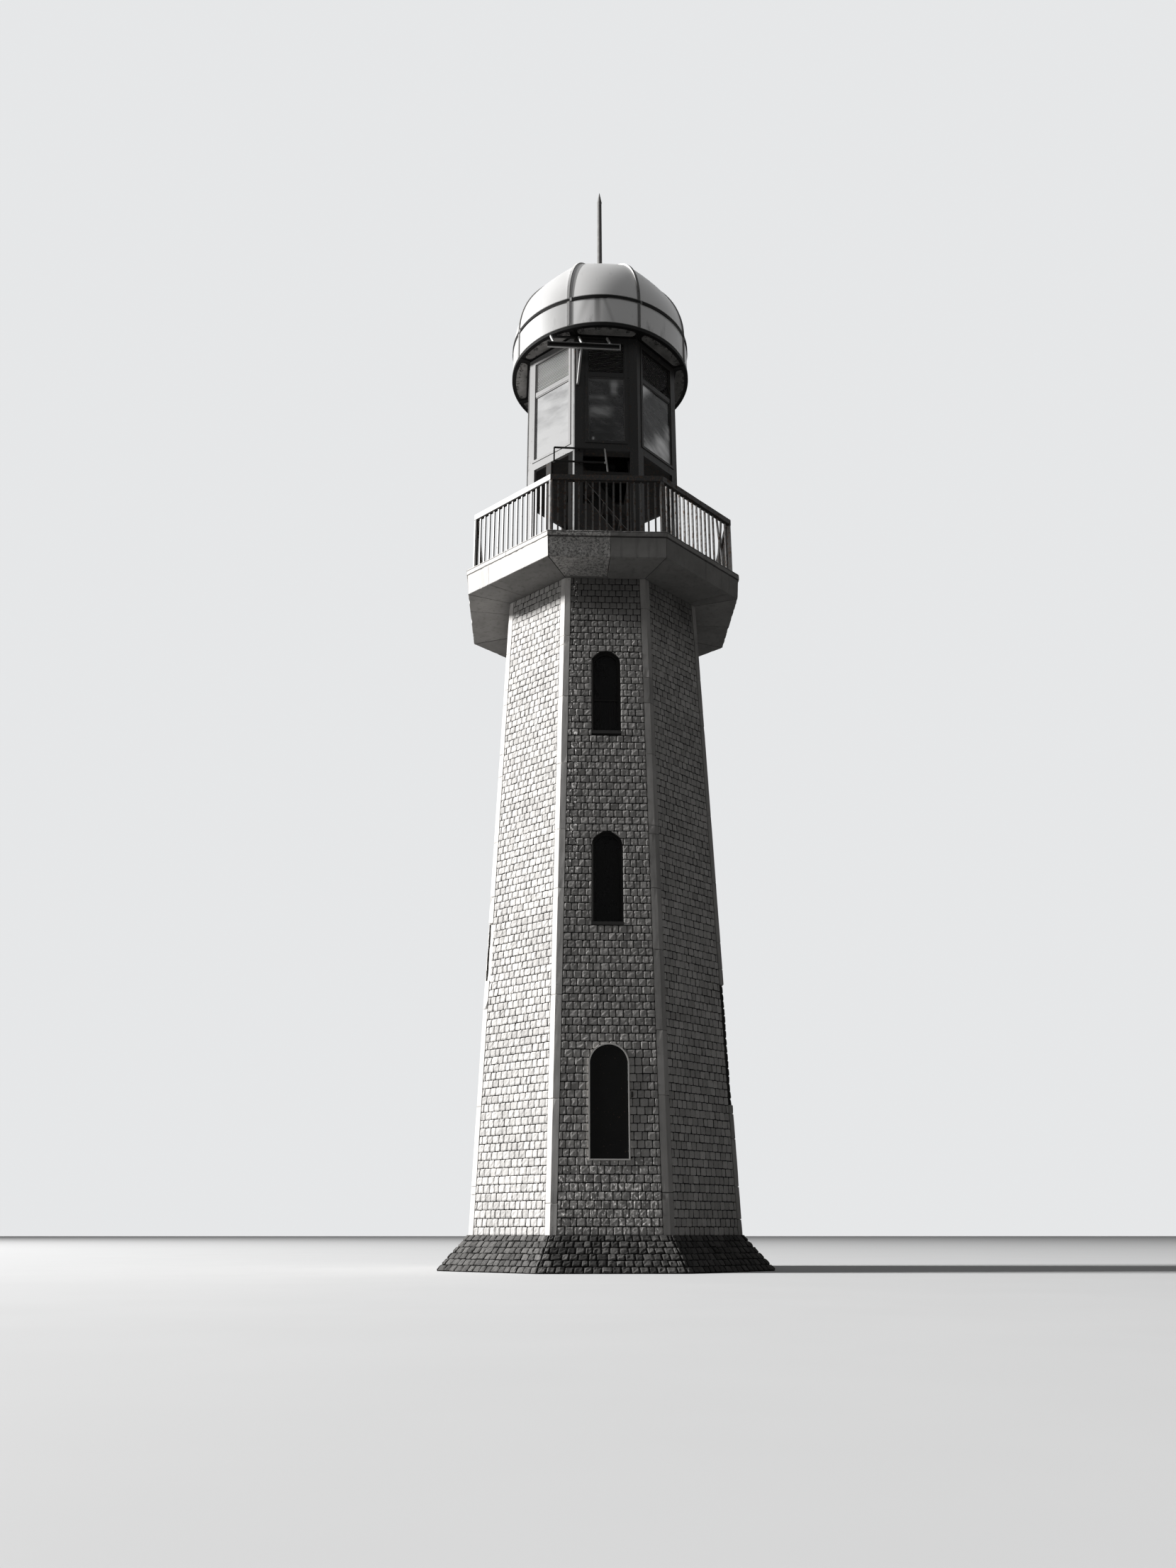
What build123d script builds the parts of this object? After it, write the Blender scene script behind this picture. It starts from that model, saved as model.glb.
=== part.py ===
from build123d import *
import os
from math import acos, atan, cos, radians, sin, tan

# An octagonal stone lighthouse with an oversailing balcony and a glazed metal lantern.
# Millimetres, +Z up, origin at the centre of the base on the ground.
# Face 0 looks towards -Y and faces count on towards +X. A radius is measured to a corner unless it says face.

os.makedirs("parts", exist_ok=True)

# Driving dimensions: plan
SIDES = 8
FACE_NAMES = ["front", "front_right", "right", "back_right", "back", "back_left", "left", "front_left"]

# Driving dimensions: plinth and tower
PLINTH_FOOT_R = 2665
PLINTH_HEIGHT = 485
TOWER_FOOT_R = 2200
TOWER_HEAD_R = 1780
TOWER_TOP = 11020
WALL_THICKNESS = 450
STRIP_WIDTH = 100
STRIP_THICKNESS = 120
SETT_BED = 20
FLOOR_THICKNESS = 120
MIDDLE_FLOOR_TOP = 4050
UPPER_FLOOR_TOP = 7250

# Driving dimensions: windows and inscription plate on the front face
MIDDLE_WINDOW_WIDTH = 480
MIDDLE_WINDOW_FOOT = 4940
MIDDLE_WINDOW_HEIGHT = 1510
MIDDLE_WINDOW_RISE = 185
UPPER_WINDOW_WIDTH = 470
UPPER_WINDOW_FOOT = 8130
UPPER_WINDOW_HEIGHT = 1500
UPPER_WINDOW_RISE = 170
WINDOW_RECESS = 60
FRAME_WIDTH = 42
FRAME_DEPTH = 70
WINDOW_PANE = 8
SILL_HEIGHT = 50
SILL_PROJECTION = 25
PLATE_WIDTH = 556
PLATE_FOOT = 1512
PLATE_HEIGHT = 1616
PLATE_RISE = 268
PLATE_THICKNESS = 24
SURROUND_WIDTH = 20
SURROUND_THICKNESS = 40

# Driving dimensions: balcony and railing
SLAB_FOOT_R = 2557
SLAB_FLARE = 26
SLAB_THICKNESS = 375
COPING_OVERSAIL = 17
COPING_HEIGHT = 95
COPING_WIDTH = 380
COPING_JOINT = 6
RAILING_SET_BACK = 105
RAILING_HEIGHT = 1140
RAIL_WIDTH = 80
RAIL_HEIGHT = 100
RAIL_JOINT = 4
BALUSTER_SIZE = 28
BALUSTER_COUNT = 15
RAIL_POST_SIZE = 60

# Driving dimensions: lantern
LANTERN_TURN = 2.0
LANTERN_R = 1500
POST_LEG = 150
POST_THICKNESS = 60
LANTERN_FLOOR_UNDERSIDE = 13750
LANTERN_FLOOR_THICKNESS = 50
HATCH_LEFT = -620
HATCH_RIGHT = 480
HATCH_RIM = 126
HATCH_BACK = 360
BOTTOM_RAIL_HEIGHT = 205
GLASS_HEIGHT = 1385
TRANSOM_HEIGHT = 100
LOUVRE_HEIGHT = 640
TOP_RAIL_HEIGHT = 145
LANTERN_RAIL_DEPTH = 60
LANTERN_PANE = 10
LOUVRE_DEPTH = 30
DOOR_STILE = 88
DOOR_STILE_DEPTH = 50
MID_POST_WIDTH = 120
MID_POST_OFFSET = -60
CROSS_BAR_HEIGHT = 65
CROSS_BAR_TOP = 13310

# Driving dimensions: stair
STAIR_RISES = 6
STAIR_ANGLE = 53
STAIR_SET_BACK = 300
STAIR_WIDTH = 480
STRINGER_DEPTH = 150
STRINGER_THICKNESS = 20
TREAD_DEPTH = 140
TREAD_THICKNESS = 30

# Driving dimensions: canopy, dome and spire
CANOPY_OVERHANG = 225
RING_THICKNESS = 30
RING_HEIGHT = 80
SHEET = 6
SKIRT_HEIGHT = 545
MID_RING_HEIGHT = 75
BRACKET_WIDTH = 60
BRACKET_HEIGHT = 70
SOFFIT_THICKNESS = 6
RIB_WIDTH = 50
RIB_DEPTH = 36
RIB_PROUD = 20
DOME_RISE = 1739
GORE_FLATTENING = 0.95
GORE_SECTIONS = 8
CAP_R = 150
CAP_HEIGHT = 60
CAP_LAP = 0.9
COLLAR_R = 95
COLLAR_HEIGHT = 70
SPIRE_FOOT_R = 53
SPIRE_HEAD_R = 45
SPIRE_HEIGHT = 1986
FINIAL_R = 50
FINIAL_SHOULDER = 35
FINIAL_TIP_R = 6
FINIAL_HEIGHT = 290

# Driving dimensions: service bracket and guard hoop on the front of the lantern
BRACKET_BAR = 34
BACK_BAR_LEFT = -1050
BACK_BAR_RIGHT = 35
FRONT_BARS_LEFT = -1095
FRONT_BARS_RIGHT = 255
FRONT_BARS_OUT = 190
FRONT_BARS_DROP = 322
FRONT_BARS_APART = 85
FRONT_WEB = 10
ARM_INSET = 20
ARM_SKEW = 57
STRUT_FOOT_DROP = 1078
STRUT_INSET = 49
HOOP_BAR = 26
HOOP_LEFT = -942
HOOP_RIGHT = -35
HOOP_TOP = 13745
HOOP_HEIGHT = 280
HOOP_TAIL = 180
HOOP_SKEW = 50
HOOP_STANDOFF = 30

# Worked out from the dimensions above
SECTOR = 360 / SIDES
HALF_SECTOR = SECTOR / 2
FACE_RATIO = cos(radians(HALF_SECTOR))
MITRE = tan(radians(HALF_SECTOR))
HALF_SIDE = sin(radians(HALF_SECTOR))
SLAB_TOP = TOWER_TOP + SLAB_THICKNESS
SLAB_HEAD_R = SLAB_FOOT_R + SLAB_FLARE
COPING_R = SLAB_HEAD_R + COPING_OVERSAIL
RAILING_R = COPING_R - RAILING_SET_BACK
DECK_TOP = SLAB_TOP + COPING_HEIGHT
RAILING_TOP = DECK_TOP + RAILING_HEIGHT
RAIL_UNDERSIDE = RAILING_TOP - RAIL_HEIGHT
LANTERN_FLOOR_TOP = LANTERN_FLOOR_UNDERSIDE + LANTERN_FLOOR_THICKNESS
GLASS_FOOT = LANTERN_FLOOR_UNDERSIDE + BOTTOM_RAIL_HEIGHT
GLASS_TOP = GLASS_FOOT + GLASS_HEIGHT
LOUVRE_FOOT = GLASS_TOP + TRANSOM_HEIGHT
LOUVRE_TOP = LOUVRE_FOOT + LOUVRE_HEIGHT
LANTERN_TOP = LOUVRE_TOP + TOP_RAIL_HEIGHT
LANTERN_FACE = LANTERN_R * FACE_RATIO
LANTERN_HALF_SIDE = LANTERN_R * HALF_SIDE
PANE_HALF_WIDTH = LANTERN_HALF_SIDE - POST_LEG
HATCH_FRONT = LANTERN_FACE - POST_THICKNESS - HATCH_RIM
STAIR_FRONT = HATCH_FRONT - STAIR_SET_BACK
RING_R = LANTERN_R + CANOPY_OVERHANG
RING_TOP = LANTERN_TOP + RING_HEIGHT
RING_INNER_R = RING_R - RING_THICKNESS
SKIRT_R = RING_R - RING_THICKNESS / 2
SKIRT_TOP = RING_TOP + SKIRT_HEIGHT
DOME_FOOT = SKIRT_TOP + MID_RING_HEIGHT
SHEET_OUTER_R = SKIRT_R + SHEET / 2
RIB_OUTER_R = SKIRT_R + RIB_PROUD
RIB_INNER_R = RIB_OUTER_R - RIB_DEPTH
STANDING = (Align.CENTER, Align.CENTER, Align.MIN)
BATTER = (TOWER_FOOT_R - TOWER_HEAD_R) * FACE_RATIO / (TOWER_TOP - PLINTH_HEIGHT)


def in_plan(face, across, out, z, turn=0.0):
    """A point on a face: across to the right as seen from outside, out from the axis."""
    angle = radians(SECTOR * face + turn)
    return (across * cos(angle) + out * sin(angle), across * sin(angle) - out * cos(angle), z)


def prism(lower, upper):
    """A closed solid between two loops of as many points, with flat sides."""
    sides = [
        Face(Wire.make_polygon([lower[k - 1], lower[k], upper[k], upper[k - 1]]))
        for k in range(len(lower))
    ]
    ends = [Face(Wire.make_polygon(loop)) for loop in (lower, upper)]
    return Solid(Shell(sides + ends))


def octagon_prism(lower_r, upper_r, lower_z, upper_z, turn=0.0):
    """An eight-sided prism or frustum with a flat face towards -Y."""
    def loop(radius, z):
        return [in_plan(f, radius * HALF_SIDE, radius * FACE_RATIO, z, turn) for f in range(SIDES)]
    return prism(loop(lower_r, lower_z), loop(upper_r, upper_z))


def face_block(face, left, right, inner, outer, low, high, turn=0.0):
    """A square-cornered block lying along one face."""
    def loop(z):
        plan = [(left, inner), (right, inner), (right, outer), (left, outer)]
        return [in_plan(face, across, out, z, turn) for across, out in plan]
    return prism(loop(low), loop(high))


def corner_angle(face, radius, leg, thickness, z, turn=0.0):
    """The plan of an angle that wraps the corner at the right end of a face."""
    half = radius * HALF_SIDE
    out = radius * FACE_RATIO
    return [
        in_plan(face, half - leg, out, z, turn),
        in_plan(face, half, out, z, turn),
        in_plan(face + 1, leg - half, out, z, turn),
        in_plan(face + 1, leg - half, out - thickness, z, turn),
        in_plan(face, half - thickness * MITRE, out - thickness, z, turn),
        in_plan(face, half - leg, out - thickness, z, turn),
    ]


def beam(start, end, width, depth):
    """A straight bar of rectangular section between two points, its width level and square to the lantern."""
    axis = Vector(*end) - Vector(*start)
    level = Vector(0, 0, 1).cross(axis)
    if level.length < 1e-6:
        level = Vector(*in_plan(0, 1, 0, 0, LANTERN_TURN))
    section = Plane(origin=start, x_dir=level, z_dir=axis) * Rectangle(width, depth)
    return extrude(section, amount=axis.length)


def hoop(inner_r, outer_r, low, high):
    """A round ring of rectangular section about the axis."""
    ring = Cylinder(outer_r, high - low, align=STANDING) - Cylinder(inner_r, high - low, align=STANDING)
    return Pos(0, 0, low) * ring


def around(solid):
    """Eight copies of a solid, one for each side."""
    return [Rot(0, 0, SECTOR * k) * solid for k in range(SIDES)]


def gore_section(reach, rise, climb, side_gap):
    """A level slice through the front gore: round at the foot of the dome, almost straight across at its top."""
    corner = reach * cos(climb)
    roundness = 1 - GORE_FLATTENING * sin(climb)
    side_out = corner * FACE_RATIO + side_gap * HALF_SIDE * roundness
    side_across = (side_out * HALF_SIDE - side_gap) / FACE_RATIO
    side = (side_across, -side_out)
    front = (0, -corner * (FACE_RATIO + (1 - FACE_RATIO) * roundness))
    apex = (0, -side_gap / HALF_SIDE)
    other_side = (-side_across, -side_out)
    outline = Polyline(other_side, apex, side) + ThreePointArc(side, front, other_side)
    return Pos(0, 0, DOME_FOOT + rise * sin(climb)) * make_face(outline)


def gore_wedge(offset, side_gap, lowest):
    """The front eighth of the dome as a solid, its surface moved out by an offset."""
    reach = SHEET_OUTER_R + offset
    highest = acos(CAP_R * CAP_LAP / reach)
    climbs = [lowest + (highest - lowest) * k / GORE_SECTIONS for k in range(GORE_SECTIONS + 1)]
    return loft([gore_section(reach, DOME_RISE + offset, climb, side_gap) for climb in climbs])


def save(name, *solids):
    """Write the solids of one node as a STEP file."""
    shape = solids[0] if len(solids) == 1 else Compound(list(solids))
    export_step(shape, f"parts/{name}.step")


def tower_r(z):
    """Corner radius of the tower at a height."""
    share = (z - PLINTH_HEIGHT) / (TOWER_TOP - PLINTH_HEIGHT)
    return TOWER_FOOT_R + (TOWER_HEAD_R - TOWER_FOOT_R) * share


def wall_plan(face, z):
    """Plan of one wall: rebated at both ends for the corner strips and mitred to its neighbours."""
    half = tower_r(z) * HALF_SIDE
    out = tower_r(z) * FACE_RATIO
    rebate = out - STRIP_THICKNESS
    inner = out - WALL_THICKNESS
    half_plan = [
        (half - STRIP_WIDTH, out - SETT_BED),
        (half - STRIP_WIDTH, rebate),
        (half - STRIP_THICKNESS * MITRE, rebate),
        (half - WALL_THICKNESS * MITRE, inner),
    ]
    mirrored = [(-across, out_at) for across, out_at in reversed(half_plan)]
    return [in_plan(face, across, out_at, z) for across, out_at in half_plan + mirrored]


def arch_face(plane, width, height, rise):
    """An upright panel with a segmental head, standing on the plane's X axis."""
    half = width / 2
    spring = height - rise
    outline = Polyline((half, spring), (half, 0), (-half, 0), (-half, spring))
    outline += ThreePointArc((-half, spring), (0, height), (half, spring))
    return plane * make_face(outline)


def front_plane(z, set_back):
    """A plane leaning with the front wall, its origin at a height on the wall face less the set-back."""
    lean = atan(BATTER)
    normal = Vector(0, -cos(lean), sin(lean))
    wall_face = tower_r(z) * FACE_RATIO - SETT_BED
    origin = Vector(0, -wall_face, z) - normal * set_back
    return Plane(origin=origin, x_dir=(1, 0, 0), z_dir=normal)


def window(foot, width, height, rise):
    """One arched window: the cutter for the wall, its frame, pane and sill."""
    through = WALL_THICKNESS * 2
    cutter = extrude(arch_face(front_plane(foot, through), width, height, rise), amount=through * 2)
    back = front_plane(foot, WINDOW_RECESS + FRAME_DEPTH)
    outer = arch_face(back, width, height, rise)
    slope = cos(atan(BATTER))
    lifted = front_plane(foot + FRAME_WIDTH * slope, WINDOW_RECESS + FRAME_DEPTH)
    inner_size = (width - 2 * FRAME_WIDTH, height - 2 * FRAME_WIDTH, rise * (1 - 2 * FRAME_WIDTH / width))
    inner = arch_face(lifted, *inner_size)
    frame = extrude(outer, amount=FRAME_DEPTH) - extrude(inner, amount=FRAME_DEPTH)
    middle = front_plane(foot + FRAME_WIDTH * slope, WINDOW_RECESS + FRAME_DEPTH / 2)
    pane = extrude(arch_face(middle, *inner_size), amount=WINDOW_PANE)
    ledge = front_plane(foot, WINDOW_RECESS)
    length = WINDOW_RECESS + SILL_PROJECTION
    sill_profile = ledge * Pos(0, SILL_HEIGHT / 2) * Rectangle(width, SILL_HEIGHT)
    sill = extrude(sill_profile, amount=length)
    return cutter, frame, pane, sill


# Plinth: one sloping mass of masonry
save("plinth", octagon_prism(PLINTH_FOOT_R, TOWER_FOOT_R, 0, PLINTH_HEIGHT))

# Tower walls, with the two windows cut through the front one
middle = window(MIDDLE_WINDOW_FOOT, MIDDLE_WINDOW_WIDTH, MIDDLE_WINDOW_HEIGHT, MIDDLE_WINDOW_RISE)
upper = window(UPPER_WINDOW_FOOT, UPPER_WINDOW_WIDTH, UPPER_WINDOW_HEIGHT, UPPER_WINDOW_RISE)
for face, name in enumerate(FACE_NAMES):
    wall = prism(wall_plan(face, PLINTH_HEIGHT), wall_plan(face, TOWER_TOP))
    if face == 0:
        wall = wall - middle[0] - upper[0]
    save(f"{name}_wall", wall)
save("middle_window_frame", middle[1])
save("middle_window_glass", middle[2])
save("upper_window_frame", upper[1])
save("upper_window_glass", upper[2])
save("window_sills", middle[3], upper[3])

# Corner strips of dressed stone
strips = []
for face in range(SIDES):
    ends = [corner_angle(face, tower_r(z), STRIP_WIDTH, STRIP_THICKNESS, z) for z in (PLINTH_HEIGHT, TOWER_TOP)]
    strips.append(prism(*ends))
save("corner_strips", *strips)

# Blank inscription plate in its raised surround
plate_plane = front_plane(PLATE_FOOT, 0)
plate = extrude(arch_face(plate_plane, PLATE_WIDTH, PLATE_HEIGHT, PLATE_RISE), amount=PLATE_THICKNESS)
surround_plane = front_plane(PLATE_FOOT - SURROUND_WIDTH * cos(atan(BATTER)), 0)
surround_size = (
    PLATE_WIDTH + 2 * SURROUND_WIDTH,
    PLATE_HEIGHT + 2 * SURROUND_WIDTH,
    PLATE_RISE * (1 + 2 * SURROUND_WIDTH / PLATE_WIDTH),
)
surround = extrude(arch_face(surround_plane, *surround_size), amount=SURROUND_THICKNESS)
hole = extrude(arch_face(plate_plane, PLATE_WIDTH, PLATE_HEIGHT, PLATE_RISE), amount=SURROUND_THICKNESS)
save("inscription_plate", plate)
save("plate_surround", surround - hole)

# Floors inside the tower, level with the two windows
inner_offset = WALL_THICKNESS / FACE_RATIO
for name, top in (("middle_floor", MIDDLE_FLOOR_TOP), ("upper_floor", UPPER_FLOOR_TOP)):
    foot = top - FLOOR_THICKNESS
    save(name, octagon_prism(tower_r(foot) - inner_offset, tower_r(top) - inner_offset, foot, top))

# Balcony: slab, mitred coping stones and the deck that they hold
save("balcony_slab", octagon_prism(SLAB_FOOT_R, SLAB_HEAD_R, TOWER_TOP, SLAB_TOP))
coping_inner_r = COPING_R - COPING_WIDTH / FACE_RATIO
stones = []
for face in range(SIDES):
    outer_half = COPING_R * HALF_SIDE - COPING_JOINT / 2
    inner_half = coping_inner_r * HALF_SIDE - COPING_JOINT / 2
    plan = [
        (-outer_half, COPING_R * FACE_RATIO),
        (outer_half, COPING_R * FACE_RATIO),
        (inner_half, coping_inner_r * FACE_RATIO),
        (-inner_half, coping_inner_r * FACE_RATIO),
    ]
    ends = [[in_plan(face, across, out, z) for across, out in plan] for z in (SLAB_TOP, DECK_TOP)]
    stones.append(prism(*ends))
save("balcony_coping", *stones)
save("balcony_deck", octagon_prism(coping_inner_r, coping_inner_r, SLAB_TOP, DECK_TOP))

# Railing: a post at each corner and one panel of balusters under a box rail for each side
rail_outer = RAILING_R * FACE_RATIO
rail_centre = rail_outer - RAIL_WIDTH / 2
post_reach = RAILING_R - RAIL_WIDTH / 2 / FACE_RATIO
rail_posts = []
for face in range(SIDES):
    spot = in_plan(face, 0, post_reach, DECK_TOP, HALF_SECTOR)
    shaft = Box(RAIL_POST_SIZE, RAIL_POST_SIZE, RAIL_UNDERSIDE - DECK_TOP, align=STANDING)
    rail_posts.append(Pos(*spot) * Rot(0, 0, SECTOR * face + HALF_SECTOR) * shaft)
save("railing_posts", *rail_posts)

for face, name in enumerate(FACE_NAMES):
    def rail_loop(z):
        outer_half = rail_outer * MITRE - RAIL_JOINT / 2
        inner_half = (rail_outer - RAIL_WIDTH) * MITRE - RAIL_JOINT / 2
        plan = [
            (-outer_half, rail_outer),
            (outer_half, rail_outer),
            (inner_half, rail_outer - RAIL_WIDTH),
            (-inner_half, rail_outer - RAIL_WIDTH),
        ]
        return [in_plan(face, across, out, z) for across, out in plan]

    panel = prism(rail_loop(RAIL_UNDERSIDE), rail_loop(RAILING_TOP))
    clear = 2 * rail_centre * MITRE
    pitch = clear / (BALUSTER_COUNT + 1)
    half_bar = BALUSTER_SIZE / 2
    for k in range(BALUSTER_COUNT):
        across = (k + 1) * pitch - clear / 2
        panel += face_block(
            face, across - half_bar, across + half_bar,
            rail_centre - half_bar, rail_centre + half_bar, DECK_TOP, RAIL_UNDERSIDE,
        )
    save(f"{name}_railing", panel)

# Lantern posts: angles at the eight corners, from the deck to the head of the louvres
posts = []
for face in range(SIDES):
    ends = [
        corner_angle(face, LANTERN_R, POST_LEG, POST_THICKNESS, z, LANTERN_TURN)
        for z in (DECK_TOP, LANTERN_TOP)
    ]
    posts.append(prism(*ends))
save("lantern_posts", *posts)

# Lantern floor with its hatch
floor_face = LANTERN_FACE - POST_THICKNESS
floor_r = floor_face / FACE_RATIO
lantern_floor = octagon_prism(floor_r, floor_r, LANTERN_FLOOR_UNDERSIDE, LANTERN_FLOOR_TOP, LANTERN_TURN)
hatch = face_block(
    0, HATCH_LEFT, HATCH_RIGHT, -HATCH_BACK, HATCH_FRONT,
    LANTERN_FLOOR_UNDERSIDE - LANTERN_FLOOR_THICKNESS, LANTERN_FLOOR_TOP + LANTERN_FLOOR_THICKNESS, LANTERN_TURN,
)
save("lantern_floor", lantern_floor - hatch)


def between_posts(low, high, depth, set_back=0.0):
    """Eight bars or sheets, one on each face, filling the width between the posts."""
    outer = LANTERN_FACE - set_back
    return [
        face_block(face, -PANE_HALF_WIDTH, PANE_HALF_WIDTH, outer - depth, outer, low, high, LANTERN_TURN)
        for face in range(SIDES)
    ]


# Glazed storey: rails, panes and louvre panels between the posts
save("lantern_bottom_rails", *between_posts(LANTERN_FLOOR_UNDERSIDE, GLASS_FOOT, LANTERN_RAIL_DEPTH))
save("lantern_transoms", *between_posts(GLASS_TOP, LOUVRE_FOOT, LANTERN_RAIL_DEPTH))
save("lantern_top_rails", *between_posts(LOUVRE_TOP, LANTERN_TOP, LANTERN_RAIL_DEPTH))
pane_set_back = (LANTERN_RAIL_DEPTH - LANTERN_PANE) / 2
panes = between_posts(GLASS_FOOT, GLASS_TOP, LANTERN_PANE, pane_set_back)
louvre_set_back = (LANTERN_RAIL_DEPTH - LOUVRE_DEPTH) / 2
louvres = between_posts(LOUVRE_FOOT, LOUVRE_TOP, LOUVRE_DEPTH, louvre_set_back)

# The front face is a narrower door: two stiles close the sides of its pane and its louvre
door_half = PANE_HALF_WIDTH - DOOR_STILE
stiles = []
for left, right in ((-PANE_HALF_WIDTH, -door_half), (door_half, PANE_HALF_WIDTH)):
    for low, high in ((GLASS_FOOT, GLASS_TOP), (LOUVRE_FOOT, LOUVRE_TOP)):
        outer = LANTERN_FACE - (LANTERN_RAIL_DEPTH - DOOR_STILE_DEPTH) / 2
        stiles.append(face_block(0, left, right, outer - DOOR_STILE_DEPTH, outer, low, high, LANTERN_TURN))
panes[0] = face_block(
    0, -door_half, door_half, LANTERN_FACE - pane_set_back - LANTERN_PANE, LANTERN_FACE - pane_set_back,
    GLASS_FOOT, GLASS_TOP, LANTERN_TURN,
)
louvres[0] = face_block(
    0, -door_half, door_half, LANTERN_FACE - louvre_set_back - LOUVRE_DEPTH, LANTERN_FACE - louvre_set_back,
    LOUVRE_FOOT, LOUVRE_TOP, LANTERN_TURN,
)
save("lantern_glass", *panes)
save("lantern_louvres", *louvres)
save("door_stiles", *stiles)

# Open storey under the lantern: a flat post on the front left side and a cross bar on the front
mid_left = MID_POST_OFFSET - MID_POST_WIDTH / 2
save("side_post", face_block(
    SIDES - 1, mid_left, mid_left + MID_POST_WIDTH, LANTERN_FACE - POST_THICKNESS, LANTERN_FACE,
    DECK_TOP, LANTERN_FLOOR_UNDERSIDE, LANTERN_TURN,
))
save("cross_bar", face_block(
    0, -PANE_HALF_WIDTH, PANE_HALF_WIDTH, LANTERN_FACE - POST_THICKNESS, LANTERN_FACE,
    CROSS_BAR_TOP - CROSS_BAR_HEIGHT, CROSS_BAR_TOP, LANTERN_TURN,
))

# Steep stair from the deck to the left edge of the hatch
stair_height = LANTERN_FLOOR_TOP - DECK_TOP
rise = stair_height / STAIR_RISES
going = rise / tan(radians(STAIR_ANGLE))
stair_run = stair_height / tan(radians(STAIR_ANGLE))
stringer_level = STRINGER_DEPTH / sin(radians(STAIR_ANGLE))
stringers = []
for near in (STAIR_FRONT, STAIR_FRONT - STAIR_WIDTH + STRINGER_THICKNESS):
    def stringer_side(out):
        head = HATCH_LEFT
        foot = HATCH_LEFT + stair_run
        plan = [
            (head, LANTERN_FLOOR_TOP),
            (head + stringer_level, LANTERN_FLOOR_TOP),
            (foot + stringer_level, DECK_TOP),
            (foot, DECK_TOP),
        ]
        return [in_plan(0, across, out, z, LANTERN_TURN) for across, z in plan]

    stringers.append(prism(stringer_side(near), stringer_side(near - STRINGER_THICKNESS)))
save("stair_stringers", *stringers)
treads = []
for k in range(1, STAIR_RISES):
    nose = HATCH_LEFT + stair_run - k * going + stringer_level
    middle_of_tread = nose - stringer_level / 2
    top = DECK_TOP + k * rise
    treads.append(face_block(
        0, middle_of_tread - TREAD_DEPTH / 2, middle_of_tread + TREAD_DEPTH / 2,
        STAIR_FRONT - STAIR_WIDTH + STRINGER_THICKNESS, STAIR_FRONT - STRINGER_THICKNESS,
        top - TREAD_THICKNESS, top, LANTERN_TURN,
    ))
save("stair_treads", *treads)

# Canopy: radial brackets from the lantern corners to a rolled ring, with flat soffit plates between them
ring_bore = Pos(0, 0, LANTERN_TOP) * Cylinder(RING_INNER_R, BRACKET_HEIGHT, align=STANDING)
bracket_blocks = [
    face_block(
        face, -BRACKET_WIDTH / 2, BRACKET_WIDTH / 2, LANTERN_FACE - POST_THICKNESS, RING_R,
        LANTERN_TOP, LANTERN_TOP + BRACKET_HEIGHT, LANTERN_TURN + HALF_SECTOR,
    )
    for face in range(SIDES)
]
save("canopy_brackets", *[(block & ring_bore).solid() for block in bracket_blocks])
soffit_disc = Pos(0, 0, LANTERN_TOP) * Cylinder(RING_INNER_R, SOFFIT_THICKNESS, align=STANDING)
lantern_well_r = (LANTERN_FACE - LANTERN_RAIL_DEPTH) / FACE_RATIO
lantern_well = octagon_prism(
    lantern_well_r, lantern_well_r, LANTERN_TOP - SOFFIT_THICKNESS, LANTERN_TOP + 2 * SOFFIT_THICKNESS, LANTERN_TURN,
)
soffit = soffit_disc - lantern_well
for block in bracket_blocks:
    soffit -= block
save("canopy_soffit", *soffit.solids())
save("canopy_ring", hoop(RING_INNER_R, RING_R, LANTERN_TOP, RING_TOP))

# Skirt: curved sheets between upright ribs, under the middle ring
wedge_foot = RIB_WIDTH / 2 / HALF_SIDE
wedge_half = 2 * RING_R * MITRE
wedge_plan = [(0, wedge_foot), (wedge_half, wedge_foot + 2 * RING_R), (-wedge_half, wedge_foot + 2 * RING_R)]
wedge = prism(*[[in_plan(0, across, out, z) for across, out in wedge_plan] for z in (RING_TOP, SKIRT_TOP)])
skirt_sheet = hoop(SHEET_OUTER_R - SHEET, SHEET_OUTER_R, RING_TOP, SKIRT_TOP) & wedge
save("skirt_sheets", *around(skirt_sheet.solid()))
rib_slab = face_block(0, -RIB_WIDTH / 2, RIB_WIDTH / 2, 0, 2 * RING_R, RING_TOP, SKIRT_TOP, HALF_SECTOR)
skirt_rib = hoop(RIB_INNER_R, RIB_OUTER_R, RING_TOP, SKIRT_TOP) & rib_slab
save("skirt_ribs", *around(skirt_rib.solid()))
save("middle_ring", hoop(RIB_INNER_R, RIB_OUTER_R, SKIRT_TOP, DOME_FOOT))

# Dome: eight gores, round at the foot and straight across near the top, between eight ribs and a cap
cap_top = DOME_FOOT + DOME_RISE + RIB_PROUD
cap_foot = DOME_FOOT + DOME_RISE - CAP_HEIGHT
cap = Pos(0, 0, cap_foot) * Cylinder(CAP_R, cap_top - cap_foot, align=STANDING)
gore = gore_wedge(0, RIB_WIDTH / 2, 0) - gore_wedge(-SHEET, 0, -SHEET / SHEET_OUTER_R) - cap
save("dome_gores", *around(gore.solid()))
rib_outer = Ellipse(SHEET_OUTER_R + RIB_PROUD, DOME_RISE + RIB_PROUD)
rib_inner = Ellipse(SHEET_OUTER_R + RIB_PROUD - RIB_DEPTH, DOME_RISE + RIB_PROUD - RIB_DEPTH)
rib_reach = Pos(CAP_R, 0) * Rectangle(RING_R, 2 * DOME_RISE, align=(Align.MIN, Align.MIN))
rib_profile = Plane.XZ * ((rib_outer - rib_inner) & rib_reach)
rib = Pos(0, 0, DOME_FOOT) * extrude(rib_profile, amount=RIB_WIDTH / 2, both=True)
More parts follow.
